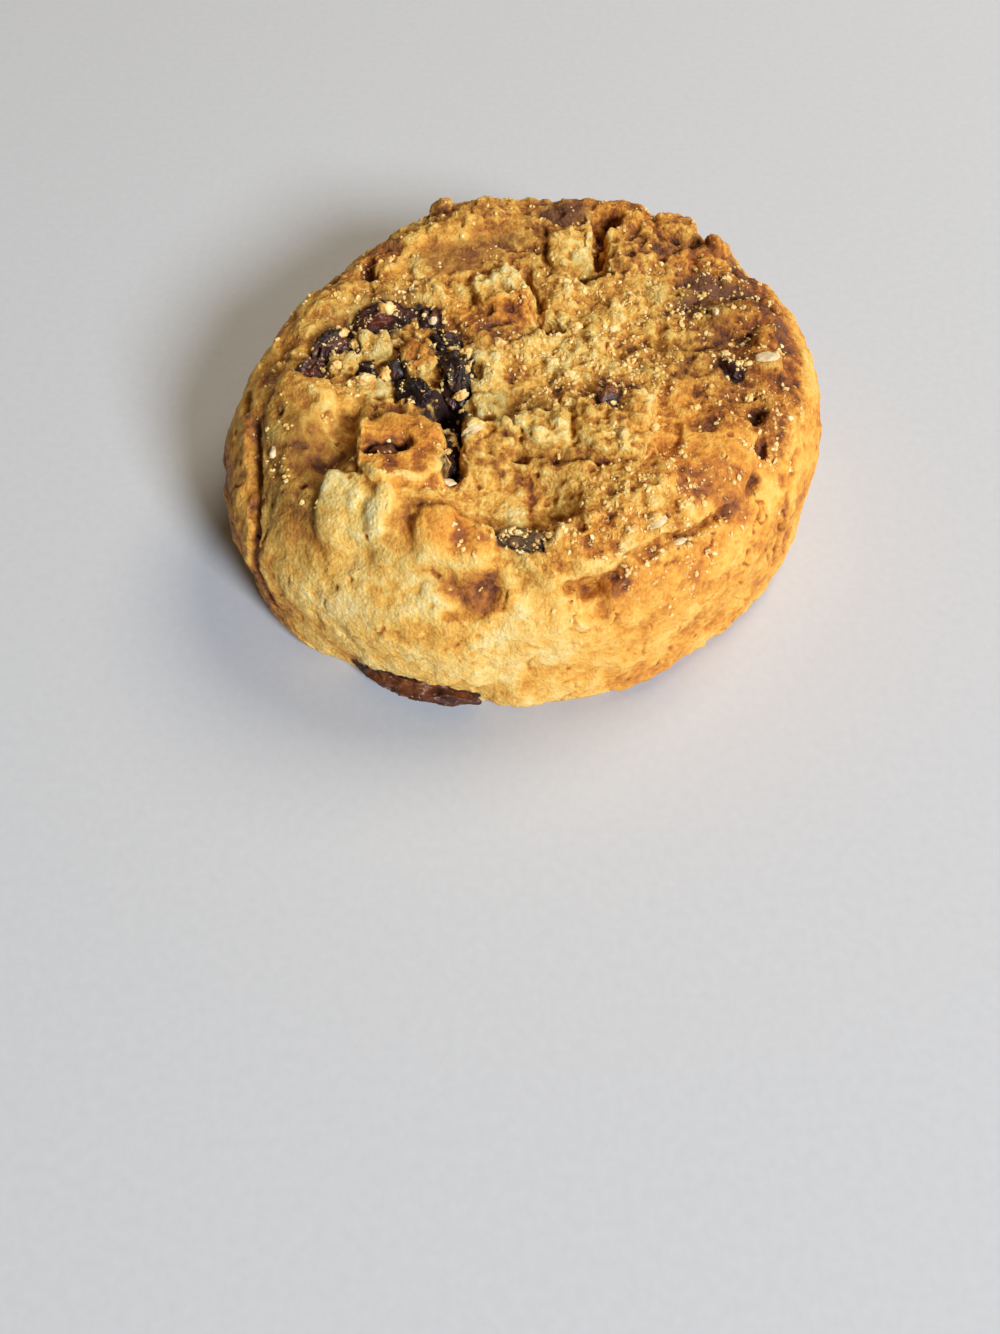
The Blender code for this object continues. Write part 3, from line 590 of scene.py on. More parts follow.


# Where the dough is browned, stained or pale, and where light or shade is painted on it, read in plan over
# the top

bakeSpots = {
    "toastAndShade": [   # browned crust; the spot at (-24.8, -17.5) is painted shade on the left shoulder: at, half sizes, turn, strength
        ((-13.2, -13.2), (4, 1.6), 0, 0.35), ((-11.2, -16), (1.2, 3.4), 0, 0.6),
        ((-15.6, -15.7), (3, 1.5), 5, 1), ((-15.2, -18.2), (1, 1.1), 0, 1),
        ((-11.4, -23.8), (1.2, 0.7), -20, 0.9), ((-9.6, -23.6), (2.8, 1), -15, 0.5),
        ((-5.6, -27.2), (1.3, 1), 0, 0.8), ((-18.6, 18.6), (3, 3.6), 30, 0.8),
        ((-19.7, 14.6), (1.1, 2.2), 10, 0.9), ((-23.5, 12.5), (3, 4), -30, 0.4),
        ((-10.9, 26.4), (1.6, 1.6), 0, 0.9), ((6.6, 27.2), (3, 2.2), 0, 0.7),
        ((13.6, 26.2), (3.8, 1.8), -10, 0.9), ((9.8, 24.3), (2.2, 2.2), 0, 0.65),
        ((18, 21.6), (2.6, 1.4), 10, 0.75), ((15.6, 16.3), (1.5, 1.7), 0, 0.7),
        ((13.2, 14.4), (2.8, 2.2), 0, 0.55), ((24.4, 19.6), (3, 3), -40, 0.65),
        ((26.8, 13), (2.8, 5.5), 15, 0.95), ((27.2, 8.6), (2.4, 2.6), 0, 0.8), ((29.4, 2), (2, 5.4), 3, 1),
        ((28.8, -4.6), (2, 3.4), -10, 1), ((25.4, -3.6), (3.6, 3.6), 0, 0.6),
        ((27.3, -8.4), (1.4, 2.4), -15, 0.85), ((24.7, -9.5), (1.6, 1.5), 0, 0.95),
        ((24.8, -13.3), (1.1, 1.7), -20, 0.95), ((27, -12.4), (1.4, 2.4), 0, 0.6),
        ((22.5, -11), (4, 3.6), 0, 0.45), ((22, 2.6), (0.8, 1.1), 0, 0.8),
        ((22.6, -2), (2.6, 2.3), 0, 0.7), ((-2.5, 6.6), (2.8, 1.8), 0, 0.6),
        ((-8.2, 5.4), (3.2, 2.6), 0, 0.5), ((-3, 2.8), (4.2, 2.6), 0, 0.5),
        ((11.2, 2.2), (2.2, 1.6), 0, 0.6), ((12.4, -1.2), (2.2, 1.6), 0, 0.7),
        ((8.7, -6.8), (3, 2.7), 0, 0.7), ((3.4, -6.8), (2.2, 1.3), 0, 0.8),
        ((17.4, -5.4), (2.2, 1.7), 0, 0.7), ((2.3, -16.6), (1.2, 0.9), 0, 0.8),
        ((7, -15), (1, 0.7), 0, 0.9), ((-3.6, -16.6), (0.8, 0.7), 0, 0.95),
        ((-6.6, -15.8), (1.1, 0.8), 30, 0.8), ((-0.4, -20.6), (0.6, 2.4), 0, 0.7),
        ((2.6, -24), (2, 1), 0, 0.4), ((-7.4, -26.4), (3.6, 2.2), -20, 0.4),
        ((16.6, -19.4), (2.6, 2), 0, 0.6), ((18.8, -16.8), (1.2, 1.7), 0, 0.5),
        ((22.6, -17.8), (1.3, 2.2), 0, 0.6), ((21.7, -21.2), (1.7, 1.6), 40, 0.9),
        ((7.4, -24.2), (1.6, 1.2), 0, 0.6), ((5.8, -27), (2.6, 1.2), 0, 0.55), ((22, 6), (9, 14), 0, 0.43),
        ((2, 23), (15, 6), 0, 0.30), ((-25, -4.6), (2.2, 1.6), 0, 0.6), ((18, 18), (9, 7), 0, 0.35),
        ((29, 3), (2.2, 12), 0, 0.7), ((20.5, -14.5), (6, 7.5), 0, 0.25), ((-7.5, 16.5), (7, 4), 10, 0.35),
        # the spot at (-24.8, -17.5) is painted shade on the left shoulder, not browning
        ((-17, -8.8), (2, 0.8), 20, 0.8), ((-24.8, -17.5), (2.4, 6), 10, 0.40),
        ((-13, -0.6), (1.7, 2.6), 0, 0.6), ((-1.8, -3.2), (1.2, 0.9), 0, 0.8),
        ((4.6, 20.8), (2.8, 0.9), 0, 0.6), ((14, -2.6), (1.4, 1), 0, 0.4),
    ],
    "stained": [   # purple brown, where a raisin lies under thin dough
        ((4.2, 24.4), (3.2, 2.3), 0, 0.85), ((21.6, 10.8), (3.6, 1.5), -12, 0.9),
        ((24.6, 9.8), (2.2, 1.2), -20, 1), ((18.8, 8), (2, 1.3), 30, 0.95),
        ((18.4, -11.4), (1.6, 1.1), 10, 0.5), ((26.6, 16), (1.8, 3), 30, 0.6),
        ((-13.4, 23.4), (2.6, 1.1), 25, 0.5), ((-16.6, 18.8), (1.6, 1.6), 0, 0.6),
        ((29, 3.6), (1, 3.2), 0, 0.6), ((22.6, -2.4), (1.8, 1.8), 0, 0.7),
        ((-8, 16.4), (6.5, 2.6), 15, 0.4), ((19.6, 19), (1.8, 1.2), 0, 0.4),
        ((-18, 7.4), (4.6, 2.6), 15, 0.5), ((-23.4, 2.6), (2.2, 4.6), 0, 0.45),
        ((-2.6, 19.2), (2.4, 1.4), 0, 0.5),
    ],
    "juiceAndShade": [   # nearly black: partly raisin juice, partly painted shade in the gaps round the raisins
        ((-21, 4.6), (1.5, 0.9), 20, 1), ((-12.9, 7.2), (1, 0.9), 0, 0.9),
        ((-10.6, 4.6), (0.9, 1), 0, 0.9), ((-10.4, -0.6), (0.9, 1.3), 0, 1),
        ((-10.6, -7.6), (1.9, 1.3), -30, 1), ((-15, -3.4), (0.8, 1.3), 0, 0.9),
        ((-16.9, 4.4), (2, 0.6), 10, 0.7), ((-20, 0), (0.7, 0.9), 0, 0.9), ((-8.8, -9), (1.5, 1.4), 0, 1),
        ((-9.2, -17.6), (0.8, 1.2), 0, 0.7), ((-24.4, -2), (0.9, 0.9), 0, 0.9),
        ((-14.8, 1.4), (0.6, 1.2), 0, 0.7), ((-11.4, -10), (1.7, 0.8), 0, 0.9),
        ((-24.1, 1.8), (1, 3.2), -25, 0.8), ((-21.9, 4.4), (1.6, 0.8), 40, 0.8),
    ],
    "pale": [   # freshly torn, creamy; the spot at (-19.2, -22.6) is partly painted light on the pale lump
        ((-3.6, 10.2), (2.6, 2.8), 20, 0.9), ((6.2, 16.2), (1.8, 2.4), 0, 0.9),
        ((1, -12.4), (2.6, 2.4), 0, 0.6), ((-4.8, -7.4), (1.8, 3.2), 5, 0.9),
        ((-5.6, -0.8), (2.6, 3), 0, 0.6), ((6, -0.6), (5.5, 4.6), 0, 0.5),
        ((11.5, 6.2), (7.5, 4.4), 0, 0.45), ((-19.2, -22.6), (4.2, 4), -10, 0.85),
        ((-14.8, -21.8), (3.6, 2.2), 0, 0.6), ((-3.8, -20.6), (3.2, 3), 0, 1),
        ((3, -20.4), (2.6, 2.2), 0, 0.5), ((12.8, -9), (0.9, 2.8), -12, 0.9),
        ((6, -14.4), (3.6, 1), 0, 0.8), ((7, -29.3), (4.4, 1), 22, 0.8), ((26.6, -2), (1.5, 0.9), 8, 1),
        ((-17.6, 1.6), (2, 1.8), 0, 0.5), ((-16.6, -5.2), (2.6, 2), 0, 0.6),
        ((-21.4, -0.9), (1.6, 1.6), 0, 0.6), ((-6.6, -13.8), (1.7, 1.2), 40, 1),
        ((14.2, 12.4), (1.2, 3), 0, 0.6), ((-14.6, 14.2), (2, 1.6), 0, 0.7),
        ((-7.6, 19), (1.6, 1.2), 0, 0.7), ((22.9, 16), (1.2, 1.6), 0, 0.6),
    ],
    "warm": [   # orange brown
        ((-13.6, -15.8), (4.4, 5), 0, 0.9), ((-8.6, -27), (4.6, 3.2), -15, 1),
        ((20, -14), (8.5, 8.5), 0, 0.9), ((27.5, 2), (4.5, 14), 0, 1), ((22.4, 14.6), (4.5, 5), 0, 0.9),
        ((-12.5, -0.6), (2.2, 3.2), 0, 1), ((-2.5, 6.6), (3.2, 2.2), 0, 0.9),
        ((8, -27.5), (8, 4), 15, 0.8), ((-26, -7), (3.5, 4.5), 0, 0.3), ((-6.5, -31.5), (4, 3), 0, 1),
        ((-9, 5), (3, 3.5), 0, 0.8), ((-18, 17), (4, 4), 0, 0.6), ((13, 24), (6, 4), 0, 0.7),
        ((-0.2, -20.4), (1, 3.5), 0, 0.6),
    ],
    "shadeAndDarkCrust": [   # painted shade, an olive darkening on the left shoulder, in holes and cracks and at the foot of raised plates; on the right it also darkens browned crust
        ((-25.8, -16), (4.2, 8.5), 10, 0.85), ((-20.8, -15.2), (1.9, 4.6), 5, 0.75),
        ((-27.5, -4), (4, 6.5), 0, 0.35), ((22.5, 9), (5.8, 4), 0, 0.85), ((-16.5, 1), (9.5, 8), 0, 0.3),
        ((23, 0), (7, 9), 0, 0.36), ((-1.6, -8.4), (3.2, 2), 0, 0.8), ((-17.5, -10), (3, 1.4), 10, 0.5),
        ((-6.6, -4), (1, 4), 0, 0.35), ((1, 12.6), (1.4, 3.6), 0, 0.5), ((1.7, 4.4), (1.6, 1.2), 0, 0.7),
        ((7.8, 13.6), (2.2, 1.3), 0, 0.7), ((-8, 16.4), (6.5, 2.6), 15, 0.25),
        ((2, -16.2), (4, 0.9), 0, 0.4),
    ],
}


toneLook = {   # 0 is nearly burnt, 1 is palest cream
    "top": 0.52,
    "wall": 0.62,
    "toastAndShade": 0.34,
    "pale": 0.25,
    # darker where the top sinks below its plain height: partly browner crust, partly painted shade in the
    # low places
    "sunk": 0.05,
    # tone taken off in hair cracks, pits and slits: painted shade in them
    "hair": 0.28,
    "pits": 0.26,
    "slits": 0.5,
    "raised": ((8, 0.10, 0.08), (70, 0.45, 0.10)),   # paler on raised crumbs and browner in hollows, partly crust colour, partly painted light and shade: smoothing rounds, height in full, share
    "topPatches": ((4.5, 0.20, 25), (1.4, 0.10, 26)),   # length, share and seed
    "wallPatches": ((5.0, 0.22, 27), (1.8, 0.13, 28)),
    "wallPaintedLight": ((250.0, 36.0, 0.12), (315.0, 45.0, -0.01), (190.0, 55.0, -0.10)),   # painted light and shade on the wall by the way it faces, lighter near 250 degrees and darker near 190: angle, spread, tone
    "rags": ((1.8, 0.8, 21, 23), (0.7, 0.4, 22, 24)),   # spot edges: length, reach and two seeds
    "near": 0.55,             # dough within this far of a raisin is darkened: partly juice stain, partly painted shade beside the raisin
    "calmGrit": 0.62,         # share of the fine grit left on the wall and the smooth stretches
    "seamToastAndShade": 0.6,
    "baseToast": 0.75,
    "wallToast": (335.0, 55.0, 0.10),   # angle, spread, share
    "wallWarm": (325.0, 75.0, 0.45, 0.55),   # angle, spread, share all round, share more at the angle
    "brownToast": 1.2,
    "brownWarm": 0.7,
    "wallBrownAndShade": [   # brown patches on the wall, with painted shade along the fold and the left seam: at, radius, strength
        ((-8.6, -30.3, 19.3), 1.5, 1), ((-5.6, -31, 18.9), 2.6, 1), ((-3.2, -31.6, 18.5), 1, 0.6),
        ((-8.4, -32.2, 16.9), 0.9, 0.7), ((20.9, -25.4, 14.4), 1, 0.45), ((17, -27.1, 17.1), 0.8, 0.6),
        ((6.2, -32.8, 12.5), 0.9, 0.35), ((21.2, -25.5, 6), 1.6, 0.35), ((16, -29, 5.5), 1.4, 0.25),
        ((-12.6, -32.4, 14), 2.4, 0.25), ((22.5, -20.5, 20), 1.8, 0.6), ((-30.6, -21.4, 12), 1, 0.7),
        ((-30.2, -18, 18), 1, 0.8), ((-31.5, -21.5, 8), 3.5, 0.6), ((-33.5, -17, 10), 3.5, 0.5),
        ((-35, -9, 14), 3, 0.3), ((28.2, -18, 12.5), 1.8, 0.5), ((29.5, -15.5, 8), 2.4, 0.35),
        ((8.6, -29.8, 19.3), 1.4, 1), ((12, -27, 20.6), 1.2, 0.7), ((16.5, -24.3, 20.7), 0.9, 0.6),
        ((21, -20.8, 20.7), 2, 0.85), ((23.5, -17.5, 21), 1.5, 0.6), ((33, -4, 14), 5, 0.25),
        ((26.4, -13.5, 21), 1, 0.8), ((27.2, -15.5, 19), 1, 0.8), ((28.1, -16.8, 16.4), 1, 0.8),
        ((29.2, -16.6, 13), 1, 0.8), ((30.2, -15.6, 10), 1.1, 0.7),
    ],
}


def smoothedPlaces(mesh, places, rounds):
    edges = np.empty(len(mesh.edges) * 2, dtype=np.int64)
    mesh.edges.foreach_get("vertices", edges)
    starts, ends = edges.reshape(-1, 2).T
    count = len(places)
    degree = np.bincount(starts, minlength=count) + np.bincount(ends, minlength=count)
    degree = np.maximum(degree, 1)
    for _ in range(rounds):
        total = np.empty_like(places)
        for axis in range(3):
            total[:, axis] = np.bincount(starts, places[ends, axis], count)
            total[:, axis] += np.bincount(ends, places[starts, axis], count)
        places = 0.5 * places + 0.5 * total / degree[:, None]
    return places


def treeOf(things):
    points = []
    faces = []
    for thing in things:
        start = len(points)
        points += [vertex.co.copy() for vertex in thing.data.vertices]
        faces += [[start + corner for corner in face.vertices] for face in thing.data.polygons]
    return BVHTree.FromPolygons(points, faces)


def patchyTone(tone, patches, x, y, z):
    for length, share, seed in patches:
        tone = tone + share * noiseField(x, y, z, length, seed)
    return tone


def paintDough(thing, skins):
    # leaves the tone and the share of each stain and of the painted shade on the points
    look = toneLook
    places = readPoints(thing.data, "co")
    normals = readPoints(thing.data, "normal")
    x, y, z = places.T
    up = normals[:, 2]
    theta = np.arctan2(y, x)
    ragX, ragY = wanderedPlaces(x, y, z, look["rags"])
    plain = sectionHeight(x, y)
    overTop = smoothStep(19.3, 21.6, plain) * smoothStep(12.0, 16.0, z)
    onWall = 1.0 - overTop
    spots = {name: spotField(ragX, ragY, group) for name, group in bakeSpots.items()}
    wander = noiseField(x, y, z, *doughLook["seamWander"])
    wallBrownAndShade = ballField(ragX, ragY, z, look["wallBrownAndShade"])
    middle, spread, share = look["wallToast"]
    toastAndShade = np.maximum.reduce([
        overTop * spots["toastAndShade"],
        # browned along the seams: partly crust, partly painted shade in them
        np.clip(seamDepth(ragX, ragY, z, relief["seams"], wander), 0.0, look["seamToastAndShade"]),
        look["brownToast"] * wallBrownAndShade,
        share * angleBump(theta, middle, spread) * onWall,
        look["baseToast"] * smoothStep(0.2, 0.9, -up),
    ])
    middle, spread, low, rest = look["wallWarm"]
    warm = np.maximum.reduce([
        overTop * spots["warm"],
        (low + rest * angleBump(theta, middle, spread)) * onWall,
        look["brownWarm"] * wallBrownAndShade,
    ])
    # painted shade, olive, on the left shoulder, in holes and beside plates, with darker crust on the
    # right
    shadeAndDarkCrust = smoothStep(6.0, 12.0, z) * spots["shadeAndDarkCrust"]

    # raised crumbs are paler, pits and low places browner: partly crust colour, partly painted light and
    # shade that follow the relief
    relieved = 0.0 * z
    for rounds, full, share in look["raised"]:
        raised = places - smoothedPlaces(thing.data, places, rounds)
        away = np.einsum("ij,ij->i", raised, normals)
        relieved += share * np.clip(away / full, -1.0, 1.0)
    sunk = smoothStep(0.6, 3.2, plain - z) * smoothStep(18.0, 21.0, plain)
    topTone = patchyTone(look["top"], look["topPatches"], x, y, z)
    wallTone = patchyTone(look["wall"], look["wallPatches"], x, y, z)
    # painted light and shade on the wall, by the way it faces
    for middle, spread, share in look["wallPaintedLight"]:
        wallTone += share * angleBump(theta, middle, spread)
    tone = wallTone + (topTone - wallTone) * overTop
    pale = look["pale"] * (overTop * spots["pale"])
    tone += relieved * (0.6 + 0.4 * overTop) + pale - look["toastAndShade"] * toastAndShade - look["sunk"] * sunk
    hair, pits = tornMarks(x, y, z)
    slits = np.clip(seamDepth(x, y, z, relief["slits"]), 0.0, 1.0)
    # darker along hair cracks, in pits and in slits: painted shade
    tone -= look["hair"] * hair + look["pits"] * pits + look["slits"] * slits

    # juice stains the dough round the raisins, and painted shade darkens the gaps beside them
    tree = treeOf(skins)
    near = [tree.find_nearest(place, look["near"] * 2.0)[3] or 9.0 for place in places]
    juiceAndShade = 1.0 - smoothStep(0.15, look["near"], np.array(near))
    juiceAndShade = np.maximum(juiceAndShade, overTop * spots["juiceAndShade"])
    calm = np.maximum(calmShare(x, y, "fineCalm"), onWall)
    shares = {
        "tone": tone,
        "warm": warm,
        "shadeAndDarkCrust": shadeAndDarkCrust,
        "stained": overTop * spots["stained"],
        "juiceAndShade": juiceAndShade,
        "grit": 1.0 - (1.0 - look["calmGrit"]) * calm,
    }
    for name, values in shares.items():
        layer = thing.data.attributes.new(name, "FLOAT", "POINT")
        kept = np.ascontiguousarray(np.clip(values, 0.0, 1.0), dtype=np.float32)
        layer.data.foreach_set("value", kept)


# Raisins: where each lies, as in the frame, and how wrinkled it is

raisins = {   # at, lift, half sizes, turn
    "raisin_west": ((-23.0, 1.2), 0.2, (3.3, 1.7, 1.9), 66),
    "raisin_west_end": ((-25.0, -3.7), 0.1, (1.5, 1.2, 1.3), 60),
    "raisin_north": ((-17.3, 6.6), -0.2, (3.7, 1.8, 1.9), 20),
    "raisin_north_end": ((-11.7, 6.6), -0.2, (1.5, 1.1, 1.3), 65),
    "raisin_inner": ((-9.9, 2.4), -0.3, (2.1, 1.5, 1.5), -50),
    "raisin_arm": ((-12.7, -6.4), 0.1, (2.7, 1.5, 1.6), -36),
    "raisin_east": ((-8.4, -3.9), 0.0, (4.0, 1.7, 1.9), 90),
    "raisin_crevice": ((-9.2, -13.4), 1.3, (3.8, 1.2, 1.6), 84),
    "raisin_gap": ((-15.4, -1.9), -0.2, (1.6, 0.9, 1.2), 80),
    "raisin_gap_west": ((-18.9, -1.8), -0.2, (1.3, 0.8, 1.1), -20),
    "raisin_basin": ((-1.6, -26.2), -1.4, (4.4, 1.5, 1.7), -5),
    "raisin_right": ((22.6, -2.8), -0.6, (1.6, 1.3, 1.4), -30),
    "raisin_centre": ((8.4, -8.4), -0.8, (1.5, 1.2, 1.4), 70),
    "raisin_lip": ((-15.9, -15.7), 0.1, (1.8, 1.0, 1.3), 8),
}
footRaisin = {"angle": 246.0, "inset": 1.7, "height": 2.6, "size": (8.0, 2.2, 2.1), "curve": 35.0}
raisinLook = {
    "wrinkle": 0.16,
    "wrinkleLength": 1.6,
    "bend": 0.10,
    "foldDepth": 0.44,
    "foldLength": 1.45,
    "foldAlong": 0.55,
    "foldAcross": 1.3,
    "foldMiddle": 0.55,
    "foldGain": 1.6,
    "puckerDepth": 0.14,
    "puckerLength": 0.55,
}


def surfaceHeight(x, y):
    spotX = np.array([x])
    spotY = np.array([y])
    return float((sectionHeight(spotX, spotY) + featureRelief(spotX, spotY))[0])


def makeRaisin(name, place, turn, size, seed, curve=0.0):
    # curve is the radius that a long raisin follows round the foot
    look = raisinLook
    bm = bmesh.new()
    bmesh.ops.create_icosphere(bm, subdivisions=6 if max(size) > 2.0 else 5, radius=1.0)
    shift = Vector((3.7, 9.1, 5.3)) * seed
    for vertex in bm.verts:
        way = vertex.co.normalized()
        fold = noise.noise(way * look["wrinkleLength"] + shift)
        spot = Vector((way.x * size[0], way.y * size[1], way.z * size[2]))
        # deep folds run mostly along the raisin, small puckers cross them
        across = look["foldAcross"]
        along = Vector((spot.x * look["foldAlong"], spot.y * across, spot.z * across))
        along = along / look["foldLength"] + shift
        ridge = 1.0 - 2.0 * abs(noise.noise(along))
        pucker = 1.0 - 2.0 * abs(noise.noise(spot / look["puckerLength"] + shift))
        spot *= 1.0 + look["wrinkle"] * fold
        folded = look["foldDepth"] * (ridge - look["foldMiddle"]) * look["foldGain"]
        spot += way * (folded + look["puckerDepth"] * (pucker - 0.5))
        spot.z -= look["bend"] * spot.x * spot.x / size[0]
        if curve:
            spot.y += spot.x * spot.x / (2.0 * curve)
        vertex.co = spot
    placing = Matrix.Translation(place) @ Matrix.Rotation(turn, 4, "Z")
    bmesh.ops.transform(bm, matrix=placing, verts=bm.verts)
    thing = newObject(name + "Skin", bm)
    thing.data.shade_smooth()
    return thing


def makeRaisins():
    made = {}
    for seed, (name, (at, lift, size, turn)) in enumerate(raisins.items()):
        place = Vector((at[0], at[1], surfaceHeight(*at) + lift))
        made[name] = makeRaisin(name, place, math.radians(turn), size, seed)
    angle = math.radians(footRaisin["angle"])
    radius = float(planRadius(angle)) - footRaisin["inset"]
    place = Vector((radius * math.cos(angle), radius * math.sin(angle), footRaisin["height"]))
    turn = angle + math.pi / 2.0
    size, curve = footRaisin["size"], footRaisin["curve"]
    made["raisin_foot"] = makeRaisin("raisin_foot", place, turn, size, len(raisins), curve)
    return made


# Crumbs that lie on the top, thick round the raisins

crumbs = {
    "count": 2200,     # clusters
    "spread": 33.0,
    "sizes": (0.09, 0.38),
    "fewLarge": 2.2,
    "followers": 5,
    "steepest": 0.3,
    "lift": 0.2,
    "shapes": 12,
    "rough": 0.9,
    "shift": (4.1, 8.3, 2.7),
    "seed": 41,
    "thick": [   # at, half sizes, turn, how thick
        ((-16.5, 2), (9, 8), 0, 0.45), ((-8.6, -5), (3, 6), 0, 0.5), ((6, -2), (9, 7), 0, 0.9),
        ((0.5, -26), (6, 2), 0, 0.8), ((24, -4), (5, 12), 0, 0.5), ((14, -22), (9, 6), 30, 0.7),
        ((12, 9), (12, 6), 0, 0.6), ((-13, -18), (4, 4), 0, 0.3), ((21, 11), (5, 5), 0, 0.35),
        ((-28.5, -15), (2.5, 8), 0, 0.25), ((-20.5, -3), (3.6, 3), 0, 0.9), ((-16.5, 10), (5, 3), 0, 0.6),
        ((-9.2, -13.2), (1.6, 5), 0, 1),
    ],
    "everywhere": 0.07,
}


dropHeight = 40.0   # above everything, where toppings drop from


def dropTo(ground, x, y):
    return ground.ray_cast(Vector((x, y, dropHeight)), Vector((0.0, 0.0, -1.0)))[:2]


def crumbShapes():
    shapes = []
    for number in range(crumbs["shapes"]):
        bm = bmesh.new()
        bmesh.ops.create_icosphere(bm, subdivisions=1, radius=1.0)
        shift = Vector(crumbs["shift"]) * (number + 1)
        for vertex in bm.verts:
            vertex.co *= 1.0 + crumbs["rough"] * noise.noise(vertex.co * 1.9 + shift)
        shape = bpy.data.meshes.new("crumbShape")
        bm.to_mesh(shape)
        bm.free()
        shapes.append(shape)
    return shapes


def makeCrumbs(ground):
    # each cluster is one crumb with a few smaller ones piled against it
    look = crumbs
    low, high = look["sizes"]
    chance = random.Random(look["seed"])
    shapes = crumbShapes()
    bm = bmesh.new()
    placed = 0
    while placed < look["count"]:
        angle = chance.uniform(0.0, 2.0 * math.pi)
        radius = look["spread"] * math.sqrt(chance.random())
        x = radius * math.cos(angle)
        y = radius * math.sin(angle)
        thick = float(spotField(np.array([x]), np.array([y]), look["thick"])[0])
        if chance.random() > max(look["everywhere"], thick):
            continue
        placed += 1
        biggest = low + (high - low) * chance.random() ** look["fewLarge"]
        for follower in range(1 + int(chance.random() ** 2 * look["followers"])):
            size = biggest
            reach = 0.0
            if follower > 0:
                size = max(low * 0.8, biggest * chance.uniform(0.3, 0.8))
                reach = biggest * chance.uniform(0.8, 2.2)
            turn = chance.uniform(0.0, 2.0 * math.pi)
            hit, normal = dropTo(ground, x + reach * math.cos(turn), y + reach * math.sin(turn))
            if hit is None or normal.z < look["steepest"]:
                continue
            width = size * chance.uniform(0.6, 1.0)
            stretch = Matrix.Diagonal((size, width, size * chance.uniform(0.5, 0.9), 1.0))
            tilt = normal.to_track_quat("Z", "Y").to_matrix().to_4x4()
            spin = Matrix.Rotation(chance.uniform(0.0, 2.0 * math.pi), 4, "Z")
            place = Matrix.Translation(hit + normal * size * look["lift"]) @ tilt @ spin @ stretch
            shape = chance.choice(shapes)
            shape.transform(place)
            bm.from_mesh(shape)
            shape.transform(place.inverted())
    for shape in shapes:
        bpy.data.meshes.remove(shape)
    return newObject("crumbs", bm)


def makePieces(name, look, ground, formOf, liftOf):
    # one shaped ball at each spot, all in one mesh
    whole = bmesh.new()
    for number, (at, size, turn) in enumerate(look["seen"]):
        hit, normal = dropTo(ground, *at)
        shift = Vector(look["shift"]) * (number + 1)
        ball = bmesh.new()
        bmesh.ops.create_icosphere(ball, subdivisions=4, radius=1.0)
        for vertex in ball.verts:
            vertex.co = formOf(vertex.co.copy(), size, shift)
        place = Matrix.Translation(hit + liftOf(normal, size))
        place = place @ Matrix.Rotation(math.radians(turn), 4, "Z")
        bmesh.ops.transform(ball, matrix=place, verts=ball.verts)
        shape = bpy.data.meshes.new("shape")
        ball.to_mesh(shape)
        ball.free()
        whole.from_mesh(shape)
        bpy.data.meshes.remove(shape)
    thing = newObject(name, whole)
    thing.data.shade_smooth()
    return thing


# Lumps of crumb that stand on the raisins and round them

lumps = {
    "shift": (6.7, 1.9, 3.3),
    "flatness": 0.85,
    "lift": 0.3,
    "seen": (   # at, half sizes, turn
        ((-16.8, 6.3), (1, 0.9), 0), ((-21.6, 2.2), (0.7, 0.5), 30), ((-8, -7.4), (0.9, 0.6), 20),
        ((-9.5, -11.4), (0.5, 0.4), 0), ((-8.8, -12.8), (0.4, 0.5), 0), ((-9.3, -14.4), (0.5, 0.35), 30),
        ((-19.4, 4), (0.9, 0.7), 0), ((-20, 1.4), (1, 0.8), 40), ((-18.6, -4.6), (1.1, 0.7), 0),
        ((-11.4, -5.6), (0.6, 0.5), 0), ((-12.4, -3.3), (0.5, 0.4), 0), ((-15.6, 2.6), (0.8, 0.6), 0),
        ((-9, 1.2), (0.8, 0.6), 0), ((-7.4, -0.8), (0.8, 1.1), 0), ((-22, -2.4), (0.7, 0.6), 0),
        ((-16.4, -2.8), (0.7, 0.9), 0), ((-10.6, -9.2), (0.4, 0.3), 0), ((1.6, -26.4), (0.6, 0.4), 0),
        ((-1.8, -25.4), (0.5, 0.35), 0), ((3.4, -25.4), (0.5, 0.4), 0), ((12.2, -24.2), (0.8, 0.5), 30),
        ((9.8, -25.8), (0.7, 0.45), 20), ((15.4, -22), (0.6, 0.5), 0), ((22, -0.4), (0.5, 0.4), 0),
        ((19.6, 6), (0.6, 0.5), 0), ((24, -7), (0.5, 0.5), 0), ((5.2, 4.4), (0.8, 0.6), 0),
        ((2.2, -2), (0.8, 0.7), 30), ((9.6, 4), (0.9, 0.6), 0), ((4, -4.4), (0.7, 0.5), 0),
        ((-3.6, 0.6), (0.7, 0.6), 0), ((12.8, -13), (0.6, 0.5), 0), ((-1.2, -8.6), (0.5, 0.6), 0),
        ((18, -8.4), (0.5, 0.4), 0), ((4, 11.6), (0.8, 0.6), 0),
    ),
}


def lumpForm(way, size, shift):
    gap = noise.voronoi(way * 1.9 + shift)[0][0]
    rough = 1.0 + 0.35 * noise.noise(way * 1.4 + shift) + 0.45 * (0.4 - gap)
    rough += 0.12 * noise.noise(way * 6.0 + shift)
    height = way.z * min(size) * lumps["flatness"]
    return Vector((way.x * size[0], way.y * size[1], height)) * rough


def lumpLift(normal, size):
    return normal * min(size) * lumps["lift"]


# Oat flakes that show on the top

